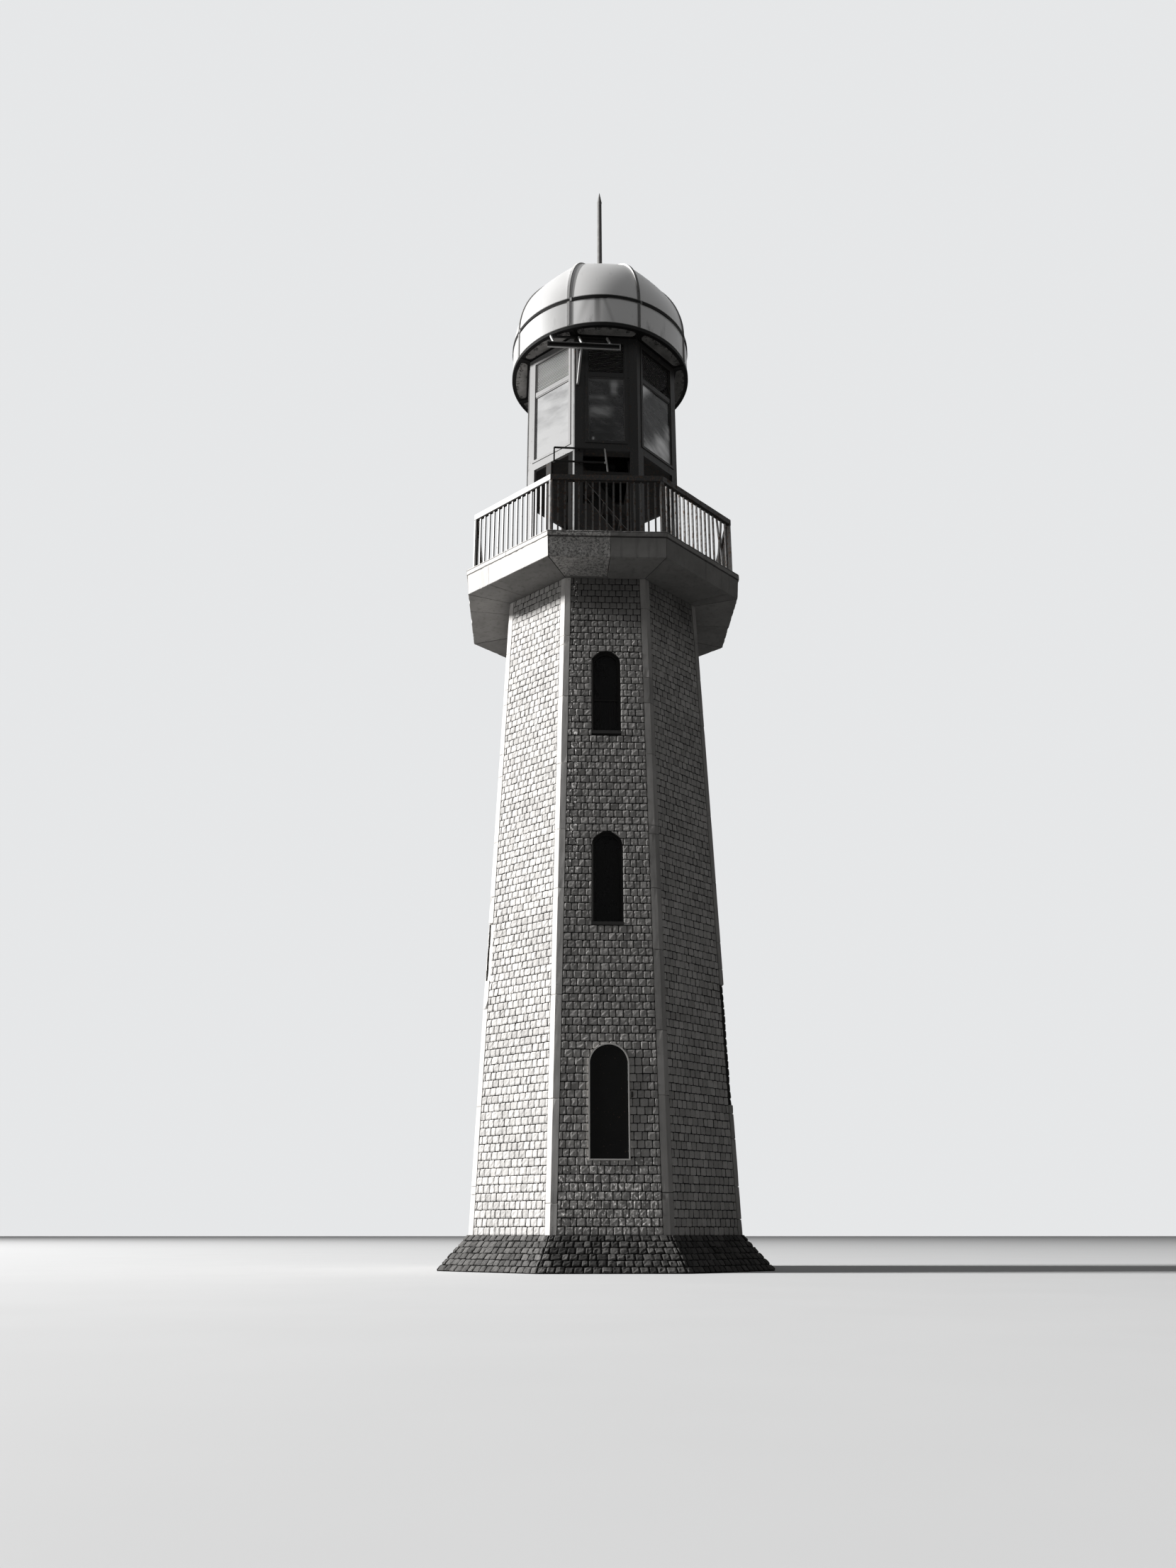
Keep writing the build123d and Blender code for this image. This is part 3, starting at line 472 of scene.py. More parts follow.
def canopy_sheet():
    """Pale weathered sheeting, rain-streaked and dirty at the joins, with painted light, sheen, rib
    highlights and a rib shadow.
    """
    bench = new_finish("canopy_sheeting")
    x, y, z = bench.axes()
    off, bearing = corner_offset(bench, LANTERN_TURN)
    height = z - SKIRT_FOOT
    around = bench.vector(bearing * 3, height * 0.45, 0.0)
    streaks = bench.grain(5.5, around, detail=5, roughness=0.65)
    clouds = bench.grain(2.6)
    fine = bench.grain(70, detail=3)
    low = 1 - (height / 0.5).between(0.0, 1.0)
    dirt = (streaks * 0.8 + clouds * 0.4 + low * 0.1 - 0.1).between(0.57, 0.95)
    skirt = z < SKIRT_TOP
    fall = SKIRT_TOP - z
    slant = fall * 0.3
    runs = x.within(-0.17, -0.07, 0.035) + (x - slant).within(-0.02, 0.04, 0.035) * 0.7
    runs = (runs + (x + slant).within(-0.37, -0.26, 0.06) * 0.4) * (1 - fall * 0.8)
    # Painted sheen: paler higher up the dome.
    painted_sheen = (z - DOME_FOOT).between(-0.2, 1.6)
    # Painted light: paler past the left corner, in front and to the right; the skirt is darker, least so
    # there.
    turned = x.between(-0.75, -0.45)
    share = clouds * 0.5 + fine * 0.2 + painted_sheen * 0.3
    sheet_tone = bench.shades(share, 0.44, 0.66, 0.012)
    sheet_tone = sheet_tone.covered(turned * 0.6, 0.92, 0.012)
    sheet_tone = sheet_tone.covered(skirt * (0.5 - turned * 0.38), 0.28, 0.012)
    colour = sheet_tone.covered(dirt.at_least((y < -1.0) * skirt * runs * 0.9), 0.15)
    # Painted shadow of the front left rib over the front gore, wider higher up.
    reach = 0.04 + (0 - fall).at_least(0) * 0.05
    shadow = (bearing < 0.0) * (bearing > -0.45) * off.within(0.0, reach, 0.004)
    colour = colour.covered(shadow * 0.8, 0.1)
    # Painted highlight on the sheet just left of each rib.
    rib_highlight = off.within(-0.05, -0.026, 0.005)
    colour = colour.covered(rib_highlight * 0.6, 0.9)
    return bench.surface(colour, 0.38 + dirt * 0.3, fine * 0.2 + streaks * 0.3, 0.0015, 0.9)


def rib_paint():
    """Ribs of the canopy: a face with wear, paler up the dome and dark down one edge, and the middle ring
    dark below a pale edge, as painted light and shade.
    """
    bench = new_finish("rib_paint")
    z = bench.axes()[2]
    off, _ = corner_offset(bench, LANTERN_TURN)
    ring = z.within(SKIRT_TOP, DOME_FOOT, 0.001) * (abs(off) > 0.03)
    edge = z.between(DOME_FOOT - 0.018, DOME_FOOT - 0.012)
    # Painted shade down one side of each rib and on the middle ring below its top edge; the top edge is
    # left pale as painted highlight.
    dark = off.between(0.005, 0.009) * (1 - ring) + ring * (1 - edge)
    wear_and_light = bench.grain(30)
    # Painted highlight: the rib faces are paler higher up the dome.
    pale = bench.shades((z - DOME_FOOT).between(0.2, 1.2), 0.3, 0.85, 0.012)
    pale = pale.covered(wear_and_light.between(0.6, 0.7), 0.1)
    colour = pale.covered(dark.at_most(1), 0.008)
    return bench.surface(colour, 0.7, wear_and_light * 0.5, 0.001, 0.08)


def mottled_soffit():
    """Old paint under the canopy, flaking to dark metal round its outer edge."""
    bench = new_finish("soffit_paint")
    x, y, _ = bench.axes()
    outer = (x * x + y * y).maths("SQRT").between(1.5, 1.66)
    flakes = bench.grain(11, detail=5, roughness=0.68)
    bare = (flakes + outer * 0.13).between(0.6, 0.68) * 0.85
    colour = bench.shades(bench.grain(3.5, detail=5) * 1.5 - 0.3, 0.1, 0.4)
    colour = colour.covered(bare, 0.04)
    return bench.surface(colour, 0.75, flakes * 0.4 - bare * 0.4, 0.002, 0.1)


def cloudy_glass():
    """Lantern panes: dark streaky glass with a pale film on the left as painted light, and painted
    reflections in front and on the right.
    """
    bench = new_finish("lantern_glass")
    x, y, z = bench.axes()
    left = 1 - x.between(-0.62, -0.5)
    right = x.between(0.55, 0.7)
    front = (1 - left) * (1 - right) * (y < 0.0)
    slant = z * 1.5 + x * 0.65 + y * 0.5
    wisps = bench.grain(3.2, bench.vector(x * 0.6, y * 0.6, slant), detail=5)
    bands = bench.grain(2.3, bench.stretched(0.35, 0.35, 2.2))
    low = 1 - (z - GLASS_FOOT).between(0.0, 0.9)
    # Painted light: a pale streaky film on the sunlit left panes, heavier near the foot.
    lit_film = 0.18 + wisps * 0.95 + low * 0.42
    # Painted reflections: mirror-like patches, smears and a spot on the front panes, and glare towards
    # the top left and bottom right of the right panes, also made partly metallic.
    reflected_patch = x.within(0.13, 0.26, 0.05) * z.within(14.98, 15.27, 0.08) * (0.05 + bands * 0.6)
    reflected_smears = x.within(-0.3, 0.05, 0.08) * z.within(14.87, 14.95, 0.04) * 0.2
    reflected_smears = reflected_smears + x.within(-0.3, 0.15, 0.1) * z.within(14.5, 14.7, 0.08) * (wisps + 0.1) * 0.45
    reflected_spot = x.within(-0.21, -0.17, 0.025) * z.within(13.99, 14.05, 0.03) * 0.6
    reflected_glare = (x * 1.3 + 13.35 - z + wisps * 0.4).between(0.2, 0.75) * (wisps + 0.25)
    reflected_glare = reflected_glare + (1 - (x + (GLASS_TOP - z) * 0.6).between(0.8, 1.02)) * 0.9
    clear = (wisps * 0.5 + bands * 0.35 - 0.36).at_least(0)
    mirrored = front * (reflected_patch + reflected_smears + reflected_spot) + right * reflected_glare * 0.78
    film = (clear + left * lit_film + mirrored).at_most(1)
    clouded = bench.shades(left, 0.8, 0.335, 0.005)
    colour = bench.blend(film, grey(0.02, 0.0), clouded)
    fine = bench.grain(120, detail=2) * 0.2
    opaque = 0.8 + film * 0.18 + (y > 0.2) * 0.16
    rough = 0.16 + film * 0.4
    return bench.surface(colour, rough, fine, 0.0005, 0.2, Alpha=opaque, Metallic=mirrored * 0.4)


def dirty_window():
    """Dark dusty window glass."""
    bench = new_finish("window_glass")
    dust = bench.grain(9, bench.stretched(1, 1, 0.5), detail=5).between(0.4, 0.8)
    colour = bench.shades(dust, 0.004, 0.018, 0.0)
    return bench.surface(colour, 0.4 + dust * 0.4, dust, 0.0005, 0.06, Alpha=0.93 + dust * 0.05)


def worn_deck(name, level):
    """Screeded floor, scuffed and stained."""
    bench = new_finish(name)
    stains = bench.grain(2.4, detail=5, roughness=0.6)
    grit = bench.grain(140, roughness=0.7)
    edges = {"feature": "DISTANCE_TO_EDGE"}
    cracks = 1 - bench.node("ShaderNodeTexVoronoi", edges, {"Scale": 1.6}, "Distance").between(0.0, 0.006)
    colour = bench.shades(stains * 0.8 + grit * 0.4 - 0.1, level * 0.6, level * 1.15)
    colour = colour.covered(cracks * 0.6, level * 0.3)
    return bench.surface(colour, 0.9, grit * 0.5 - cracks * 0.5, 0.002, 0.2)


def seen_directly(bench):
    """1 for what the camera, glass and gloss see, 0 for light on its way between surfaces."""
    rays = ("Is Camera Ray", "Is Glossy Ray", "Is Transmission Ray")
    seen, mirrored, through = bench.node("ShaderNodeLightPath", out=rays)
    return seen.at_least(mirrored).at_least(through)


def studio_floor():
    """The pale floor, which throws less light back at the tower than it shows."""
    bench = new_finish("studio_floor")
    pale = bench.shades(bench.grain(0.6, detail=2), 0.60, 0.64, 0.0)
    return bench.surface(bench.blend(seen_directly(bench), grey(0.11, 0.0), pale), 0.9)


SETTS = split_stone("tower_setts", 0.36, 0.8, 55)
PLINTH_SETTS = split_stone("plinth_setts", 0.012, 0.19, 42)
TOWER_MORTAR = mortar("tower_mortar", 0.035)
STRIP_STONE = dressed_stone("corner_stone", 0.32, 0.6, 0.25)
SLAB_STONE = fascia_stone()
# Each paint has a sunlit level and a shaded level, as painted light and shade; the pane beads' shaded
# level is raised so that they show as light lines.
RAILING_PAINT = paint(
    "railing_paint", 0.8, 0.04, -0.955, 0.6,
    baluster_top=RAIL_UNDERSIDE, sunlit_beyond=BALUSTER_OUT - 0.001,
)
LANTERN_PAINT = paint("lantern_paint", 0.32, 0.03, -0.545, 0.25, shadow_below=GLASS_FOOT - 0.21)
BEAD_PAINT = paint("bead_paint", 0.5, 0.12, -0.545, 0.1)
LOUVRE_PAINT = paint("louvre_paint", 0.6, 0.04, -0.545, -0.5, gloss=0.5)
IRON = dark_iron("dark_ironwork", 0.045)
CANOPY_IRON = dark_iron("canopy_iron", 0.012, 0.0, lit_above=SKIRT_FOOT - 0.012)
WINDOW_PAINT = window_paint()
SOFFIT = mottled_soffit()


def dress(finish, *names):
    """Gives CAD nodes their finish."""
    for name in names:
        mesh = nodes[name].data
        mesh.materials.clear()
        mesh.materials.append(finish)


def placed(name, data):
    """A new object in the scene."""
    thing = bpy.data.objects.new(name, data)
    bpy.context.scene.collection.objects.link(thing)
    return thing


def keep(name, mesh, finish, slot, *replaced):
    """A finished piece of the lighthouse."""
    mesh.materials.clear()
    mesh.materials.append(finish)
    mesh.name = name
    piece = placed(name, mesh)
    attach(piece, "root")
    if replaced:
        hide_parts(*replaced)


def closed(bm):
    """A mesh from one in the making, its faces turned outwards."""
    bmesh.ops.recalc_face_normals(bm, faces=bm.faces)
    mesh = bpy.data.meshes.new("closed")
    bm.to_mesh(mesh)
    bm.free()
    return mesh


def keep_closed(name, bm, finish, slot, *replaced):
    """A finished piece from a mesh in the making."""
    keep(name, closed(bm), finish, slot, *replaced)


def new_tree(name, sizes):
    """A Geometry Nodes tree with a geometry input and named sizes."""
    tree = bpy.data.node_groups.new(name, "GeometryNodeTree")
    tree.interface.new_socket("Geometry", in_out="INPUT", socket_type="NodeSocketGeometry")
    for size in sizes:
        tree.interface.new_socket(size, in_out="INPUT", socket_type="NodeSocketFloat")
    tree.interface.new_socket("Geometry", in_out="OUTPUT", socket_type="NodeSocketGeometry")
    bench = Bench(tree)
    return bench, bench.node("NodeGroupInput", out=("Geometry", *sizes))


def grown(block, bench, sizes, place):
    """Runs a tree on a block with its sizes and returns the result as a plain mesh, put in its place."""
    host = placed("host", block)
    modifier = host.modifiers.new("tree", "NODES")
    modifier.node_group = bench.tree
    for item in bench.tree.interface.items_tree:
        if item.in_out == "INPUT" and item.name in sizes:
            modifier[item.identifier] = sizes[item.name]
    graph = bpy.context.evaluated_depsgraph_get()
    evaluated = host.evaluated_get(graph)
    mesh = bpy.data.meshes.new_from_object(evaluated, preserve_all_data_layers=True, depsgraph=graph)
    host.modifiers.remove(modifier)
    bpy.data.objects.remove(host)
    mesh.transform(place)
    return mesh


def joined(meshes):
    """Several meshes as one."""
    bm = bmesh.new()
    for mesh in meshes:
        bm.from_mesh(mesh)
    whole = bpy.data.meshes.new("joined")
    bm.to_mesh(whole)
    bm.free()
    return whole


def skin(bm, rings):
    """Faces over rings of vertices, one after another, with a cap at each end."""
    for below, above in zip(rings, rings[1:]):
        for k in range(len(below)):
            bm.faces.new((below[k - 1], below[k], above[k], above[k - 1]))
    bm.faces.new(list(reversed(rings[0])))
    bm.faces.new(rings[-1])


def sett_block():
    """One split sett, a unit wide and high, its back at y 0 and its crown at y -1."""
    bm = bmesh.new()
    crown = bm.verts.layers.float.new("crown")
    steps = (-1, -0.68, 0, 0.68, 1)
    back = [bm.verts.new((x / 2, 0, z / 2)) for x, z in ((-1, -1), (1, -1), (1, 1), (-1, 1))]
    rows = []
    for z in steps:
        row = []
        for x in steps:
            rim = max(abs(x), abs(z)) == 1
            corner = abs(x) == 1 and abs(z) == 1
            shrink = 0.478 if corner else 0.493
            vert = bm.verts.new((x * shrink, -0.72 if corner else -0.8 if rim else -1, z * shrink))
            vert[crown] = 0.4 if rim else 1.0
            row.append(vert)
        rows.append(row)
    for low, high in zip(rows, rows[1:]):
        for k in range(4):
            bm.faces.new((low[k], low[k + 1], high[k + 1], high[k]))
    bm.faces.new((back[0], back[1], *reversed(rows[0])))
    bm.faces.new((back[1], back[2], *[row[4] for row in reversed(rows)]))
    bm.faces.new((back[2], back[3], *rows[4]))
    bm.faces.new((back[3], back[0], *[row[0] for row in rows]))
    bm.faces.new(reversed(back))
    return closed(bm)


SETT_SIZES = (
    "Foot Width", "Head Width", "Slope", "Course", "Sett", "Joint", "Proud", "Bed", "Relief", "Seed"
)
SLOTS = 40


class Opening:
    """An arched opening in a flat wall: its foot, height, half width and the rise of its head."""

    clear = 0.004

    def __init__(self, foot, height, half, rise):
        self.foot = foot
        self.head = foot + height
        self.half = half
        self.spring = self.head - rise
        self.radius = (half * half + rise * rise) / (2 * rise)
        self.centre = self.head - self.radius

    def half_width(self, level):
        """Half of its width at a level, falling to nothing at its head."""
        up = (level - self.centre).at_least(self.spring - self.centre)
        return (self.radius ** 2 - up * up).at_least(0).maths("SQRT")

    def arch(self, across):
        """The height of its head at a distance from the middle."""
        return (self.radius ** 2 - across * across).at_least(0).maths("SQRT") + self.centre


def sett_tree(name, finish, openings):
    """Courses of setts in running bond on a tapering wall, cut to the arched openings in it."""
    bench, given = new_tree(name, SETT_SIZES)
    block, foot_width, head_width, slope, course, sett, joint, proud, bed, relief, seed = given
    rows = (slope / course).maths("ROUND")
    high = slope / rows
    points = bench.node("GeometryNodePoints", {}, {"Count": rows * SLOTS})
    index = bench.node("GeometryNodeInputIndex")
    row = ((index + 0.5) / SLOTS).maths("FLOOR")
    slot = index - row * SLOTS
    z = (row + 0.5) * high
    width = foot_width + (head_width - foot_width) * z / slope
    gap = z * 0
    thin = 0.03
    least = 0.014
    for hole in openings:
        inside = (z > hole.foot) * (z + high / 2 < hole.head + least)
        gap = gap + inside * hole.half_width((z + high / 2).at_most(hole.head - 0.006))
    split = gap > 0.001
    right = split * (slot > SLOTS / 2 - 0.5)
    place = slot - right * SLOTS / 2
    start = width * -0.5 + right * (width * 0.5 + gap)
    run = width - split * (width * 0.5 + gap)
    count = (run / sett).maths("ROUND").at_least(1)
    half_step = (row.maths("MODULO", 2) > 0.5) * 0.5

    def boundary(step, key):
        """The edge of a sett in steps of a sett, wandering a little except at the ends of the course."""
        edge = (place + step - half_step).at_least(0).at_most(count)
        shift = bench.chance(-0.13, 0.13, key, seed)
        return edge + shift * (edge > 0.1) * (edge < count - 0.1)

    def chance(low, top, offset):
        """A random number for each sett."""
        return bench.chance(low, top, index, seed + offset)

    near = boundary(0, index)
    far = boundary(1, index + 1)
    wide = (far - near) * run / count
    points = bench.moved(points, bench.vector(start + near * run / count + wide / 2, bed, z))
    for attribute, value in {
        "tone": chance(0.0, 1.0, 5), "course_width": width, "grain": chance(0.0, 90.0, 9), "split": split
    }.items():
        sockets = {"Geometry": points, "Name": attribute, "Value": value}
        points = bench.node("GeometryNodeStoreNamedAttribute", {}, sockets)
    turn = bench.vector(chance(-0.05, 0.05, 2), chance(-0.014, 0.014, 3), chance(-0.05, 0.05, 4))
    depth = bed + proud + chance(-0.35, 0.25, 6) * relief
    size = bench.vector(wide - joint, depth, high - joint * chance(0.7, 1.3, 7))
    stones = bench.copies(points, block, turn, size, wide > 0.02)

    def held(name):
        """A value kept on the points of a sett."""
        return bench.node("GeometryNodeInputNamedAttribute", {}, {"Name": name}, "Attribute")

    at = bench.node("GeometryNodeInputPosition")
    x, y, up = bench.parts(at)
    leaned = x * (foot_width + (head_width - foot_width) * up / slope) / held("course_width")
    own = bench.vector(held("grain"), held("grain") * 0.7, 0.0)
    sample = bench.node("ShaderNodeVectorMath", {"operation": "ADD"}, {0: at, 1: own})
    rough = bench.grain(22, sample, 3, 0.5) - 0.5
    wobble = bench.grain(31, sample, 1, 0.5) - 0.5
    loose = joint * 1.2 * (held("crown") > 0.01)
    out = y - rough * held("crown") * relief * 3.2
    across = leaned + wobble * loose
    level = up + rough * loose
    for hole in openings:
        beside = held("split") * (level > hole.foot - thin) * (level < hole.head)
        kept = beside * (hole.half_width(level) + hole.clear)
        across = across.maths("SIGN") * abs(across).at_least(kept)
        within = (1 - held("split")) * (abs(across) < hole.half)
        over = within * (level > hole.spring) * (level < hole.head + thin)
        under = within * (level > hole.foot - hole.clear) * (level < hole.foot + high)
        level = level.at_least(over * (hole.arch(across) + hole.clear))
        level = level - under * (level - hole.foot + hole.clear)
    bench.result(bench.moved(stones, bench.vector(across, out, level)), finish)
    return bench


def wall_setts():
    """The eight sides of the tower, with the courses of the front one cut round its windows and plate."""
    block = sett_block()
    lean = atan(BATTER)
    arches = (PLATE, MIDDLE_WINDOW, UPPER_WINDOW)
    openings = [Opening((foot - PLINTH_TOP) / cos(lean), *rest) for foot, *rest in arches]
    pierced = sett_tree("front_courses", SETTS, openings)
    plain = sett_tree("plain_courses", SETTS, ())
    sizes = {
        "Foot Width": 2 * TOWER_FOOT_R * HALF_SIDE - 2 * STRIP_WIDTH,
        "Head Width": 2 * TOWER_HEAD_R * HALF_SIDE - 2 * STRIP_WIDTH,
        "Slope": (TOWER_TOP - PLINTH_TOP) / cos(lean), "Course": 0.117, "Sett": 0.117,
        "Joint": 0.0095, "Proud": 0.019, "Bed": 0.014, "Relief": 0.009,
    }
    for face, side in enumerate(FACES):
        place = face_frame(face, TOWER_FOOT_R * TO_FACE - SETT_BED, PLINTH_TOP, lean)
        tree = plain if face else pierced
        mesh = grown(block, tree, {**sizes, "Seed": 11.0 + face}, place)
        keep(f"{side}_setts", mesh, SETTS, "tower_setts")


def plinth_setts():
    """Dark rough setts on the slope of the plinth, mitred at its hips."""
    block = sett_block()
    lean = atan((PLINTH_FOOT_R - TOWER_FOOT_R) * TO_FACE / PLINTH_TOP)
    tree = sett_tree("plinth_courses", PLINTH_SETTS, ())
    sizes = {
        "Foot Width": 2 * PLINTH_FOOT_R * HALF_SIDE - 0.01,
        "Head Width": 2 * TOWER_FOOT_R * HALF_SIDE,
        "Slope": PLINTH_TOP / cos(lean), "Course": 0.108, "Sett": 0.125,
        "Joint": 0.014, "Proud": 0.02, "Bed": 0.02, "Relief": 0.014,
    }
    sides = []
    for face in range(8):
        place = face_frame(face, PLINTH_FOOT_R * TO_FACE, 0, lean)
        sides.append(grown(block, tree, {**sizes, "Seed": 31.0 + face}, place))
    keep("plinth_setts", joined(sides), PLINTH_SETTS, "plinth_setts")


def divided(loop, lengths):
    """A loop with extra points along its sides, one about every so many metres."""
    points = []
    for k, start in enumerate(loop):
        end = loop[(k + 1) % len(loop)]
        parts = max(1, round((end - start).length / lengths[k % len(lengths)]))
        points += [start.lerp(end, n / parts) for n in range(parts)]
    return points


def stone(bm, low, high, levels, relief, chip, tone, bevel=0.006):
    """One block of stone between two loops, its faces uneven and its arrises chipped."""
    tones = bm.verts.layers.float.get("tone") or bm.verts.layers.float.new("tone")
    middle = [sum(loop, Vector()) / len(loop) for loop in (low, high)]
    rings = []
    stops = [0.0] + [k / levels for k in range(levels + 1)] + [1.0]
    for n, share in enumerate(stops):
        end = n in (0, len(stops) - 1)
        rim = n in (1, len(stops) - 2)
        heart = middle[0].lerp(middle[1], share)
        step = bevel / (high[0] - low[0]).length if rim else 0.0
        level = share + (step if n == 1 else -step)
        ring = []
        for a, b in zip(low, high):
            point = a.lerp(b, level)
            inward = (heart - point).normalized()
            uneven = noise.noise_vector(point * 9 + Vector((tone * 31, 0, 0)))
            wear_and_light = noise.noise(point * 14 + Vector((0, tone * 17, 0))) - 0.1
            chipped = max(0.0, wear_and_light) * chip if rim or end else 0.0
            vert = bm.verts.new(point + uneven * relief + inward * (bevel * end + chipped))
            vert[tones] = tone
            ring.append(vert)
        rings.append(ring)
    skin(bm, rings)


def own_tone(*keys):
    """A tone from 0 to 1 that belongs to one block."""
    return noise.cell(Vector([k * 3.7 + 0.31 for k in (*keys, 0, 0)][:3]))


# Heights at which a corner strip has broken away, for the corner at the right end of a side
BROKEN = {1: (2.37, 4.23), 6: (4.27, 5.2)}


def strip_plan(corner, level, sunk):
    """The plan of a corner strip at a level, its outer faces sunk back by a depth."""
    half = tower_r(level) * HALF_SIDE
    face = tower_r(level) * TO_FACE
    outer = face - sunk
    inner = face - STRIP_THICKNESS
    leg = STRIP_WIDTH - 0.004
    plan = (
        (corner, half - leg, outer), (corner, half - sunk * MITRE, outer),
        (corner + 1, leg - half, outer), (corner + 1, leg - half, inner),
        (corner, half - STRIP_THICKNESS * MITRE, inner), (corner, half - leg, inner),
    )
    return divided([on_face(*point, level) for point in plan], (0.05, 0.05, 0.2))


def corner_stones():
    """Smooth stones round each corner of the tower, open jointed, two stretches broken away, the lower
    gap's bedding dark as painted shade.
    """
    bm = bmesh.new()
    bed = bmesh.new()
    joint = 0.003
    for corner in range(8):
        low, high = BROKEN.get(corner, (TOWER_TOP, TOWER_TOP))
        z = PLINTH_TOP
        n = 0
        while z < TOWER_TOP - 0.01:
            top = z + 0.86 + 0.8 * own_tone(corner, n)
            if TOWER_TOP - top < 0.5:
                top = TOWER_TOP
            for foot, head in ((z + joint, min(top - joint, low)), (max(z + joint, high), top - joint)):
                if head - foot > 0.06:
                    torn = 0.05 if foot == high or head == low else 0.012
                    levels = max(2, round((head - foot) / 0.16))
                    plans = [strip_plan(corner, level, 0.0) for level in (foot, head)]
                    stone(bm, *plans, levels, 0.002, torn, own_tone(corner, n, 3))
            z = top
            n += 1
        if high > low:
            plans = [strip_plan(corner, level, 0.042) for level in (low - 0.05, high + 0.05)]
            # Painted shade: the bedding left in the lower gap takes the dark mortar, for the deep cavity
            # in shade; the other stays pale stone.
            stone(bed if low < 3 else bm, *plans, round((high - low) / 0.07), 0.009, 0.02, 0.1)
    keep_closed("corner_stones", bm, STRIP_STONE, "dressed_stone", "corner_strips")
    keep_closed("strip_bed", bed, TOWER_MORTAR, "dressed_stone")


# Joints in the fascia, across each side from its middle
SLAB_JOINTS = (0.05, 0.72, 0.1, -0.3, 0.2, -0.1, 0.35, -0.45)


def wedge(face, z, outs, lefts, rights, lengths):
    """The plan of a stone on a side, its outer edge first, with points about so far apart."""
    outer, inner = outs
    return divided([
        on_face(face, lefts[0], outer, z), on_face(face, rights[0], outer, z),
        on_face(face, rights[1], inner, z), on_face(face, lefts[1], inner, z),
    ], lengths)


def balcony_stones():
    """The blocks of the balcony, mitred at its hips, and the coping course that oversails them."""
    bm = bmesh.new()
    core = 0.05
    gap = 0.003
    for face, joint in enumerate(SLAB_JOINTS):
        edges = [-1.0, joint / (SLAB_FOOT_R * HALF_SIDE), 1.0]
        for n, (left, right) in enumerate(zip(edges, edges[1:])):
            loops = []
            for radius, z in ((SLAB_FOOT_R, TOWER_TOP), (SLAB_HEAD_R, SLAB_TOP)):
                half = radius * HALF_SIDE
                lefts = (half * left + gap, core * left * MITRE - 0.0005)
                rights = (half * right - gap, core * right * MITRE)
                outs = (radius * TO_FACE, core)
                loops.append(wedge(face, z, outs, lefts, rights, (0.045, 0.4, 9.0, 0.4)))
            rough = 0.004 if face == 0 and n == 0 else 0.0025
            stone(bm, *loops, 8, rough, 0.02, own_tone(face, n, 7))
    keep_closed("balcony_stones", bm, SLAB_STONE, "balcony_stone", "balcony_slab")
    bm = bmesh.new()
    radii = (COPING_R, COPING_R - COPING_WIDTH / TO_FACE)
    outs = [radius * TO_FACE for radius in radii]
    for face in range(8):
        for n in range(2):
            lefts = [radius * HALF_SIDE * (n - 1) + gap for radius in radii]
            rights = [radius * HALF_SIDE * n - gap for radius in radii]
            lengths = (0.03, 0.12, 0.2, 0.12)
            loops = [wedge(face, z, outs, lefts, rights, lengths) for z in (SLAB_TOP, DECK_TOP)]
            chip = 0.01 if face in (6, 7) else 0.035
            stone(bm, *loops, 3, 0.003, chip, own_tone(face, n, 9), 0.008)
    keep_closed("coping_stones", bm, SLAB_STONE, "balcony_stone", "balcony_coping")


def bar(bm, path, width, depth, side):
    """A bar of rectangular section along a path of points; side is the direction of its width."""
    rings = []
    for k, point in enumerate(path):
        ahead = path[min(k + 1, len(path) - 1)] - path[max(k - 1, 0)]
        across = side.normalized() * width / 2
        through = ahead.cross(side).normalized() * depth / 2
        corners = [point + across * sx + through * sy for sx, sy in ((-1, -1), (1, -1), (1, 1), (-1, 1))]
        rings.append([bm.verts.new(corner) for corner in corners])
    skin(bm, rings)


def lantern_bar(bm, face, ends, width, depth, upright):
    """A straight bar on a side of the lantern, between two points given as across, out and z."""
    side = on_face(face, 1, 0, 0, LANTERN_TURN) if upright else Vector((0, 0, 1))
    bar(bm, [on_face(face, *end, LANTERN_TURN) for end in ends], width, depth, side)


# Balusters of the front right side that are bent, and how far each is pushed along the side
BENT = {12: 0.05, 13: -0.045}


def worn_railing():
    """The front right panel, with ragged rusted balusters and two that are bent."""
    bm = bmesh.new()
    pitch = 2 * RAIL_LINE * MITRE / (BALUSTERS + 1)
    steps = 26
    for k in range(BALUSTERS):
        across = (k + 1) * pitch - RAIL_LINE * MITRE
        path = []
        for n in range(steps + 1):
            share = n / steps
            push = BENT.get(k, 0.0) * max(0.0, 1 - abs(share - 0.55) / 0.4)
            ragged = noise.noise(Vector((k * 7.1, share * 23, 0))) * 0.0035 * (0.3 < share + k * 0.03)
            z = DECK_TOP + share * (RAIL_UNDERSIDE - DECK_TOP)
            path.append(on_face(1, across + push + ragged, RAIL_LINE, z))
        bar(bm, path, BALUSTER, BALUSTER, on_face(1, 1, 0, 0))
    outs = (RAILING_R * TO_FACE, RAILING_R * TO_FACE - RAIL_WIDTH)
    rights = [out * MITRE - 0.002 for out in outs]
    lefts = [-right for right in rights]
    lengths = (0.1, 0.2, 0.1, 0.2)
    loops = [wedge(1, z, outs, lefts, rights, lengths) for z in (RAIL_UNDERSIDE, RAILING_TOP)]
    stone(bm, *loops, 2, 0.0012, 0.004, 0.5, 0.004)
    keep_closed("worn_railing", bm, RAILING_PAINT, "railing_paint", "front_right_railing")


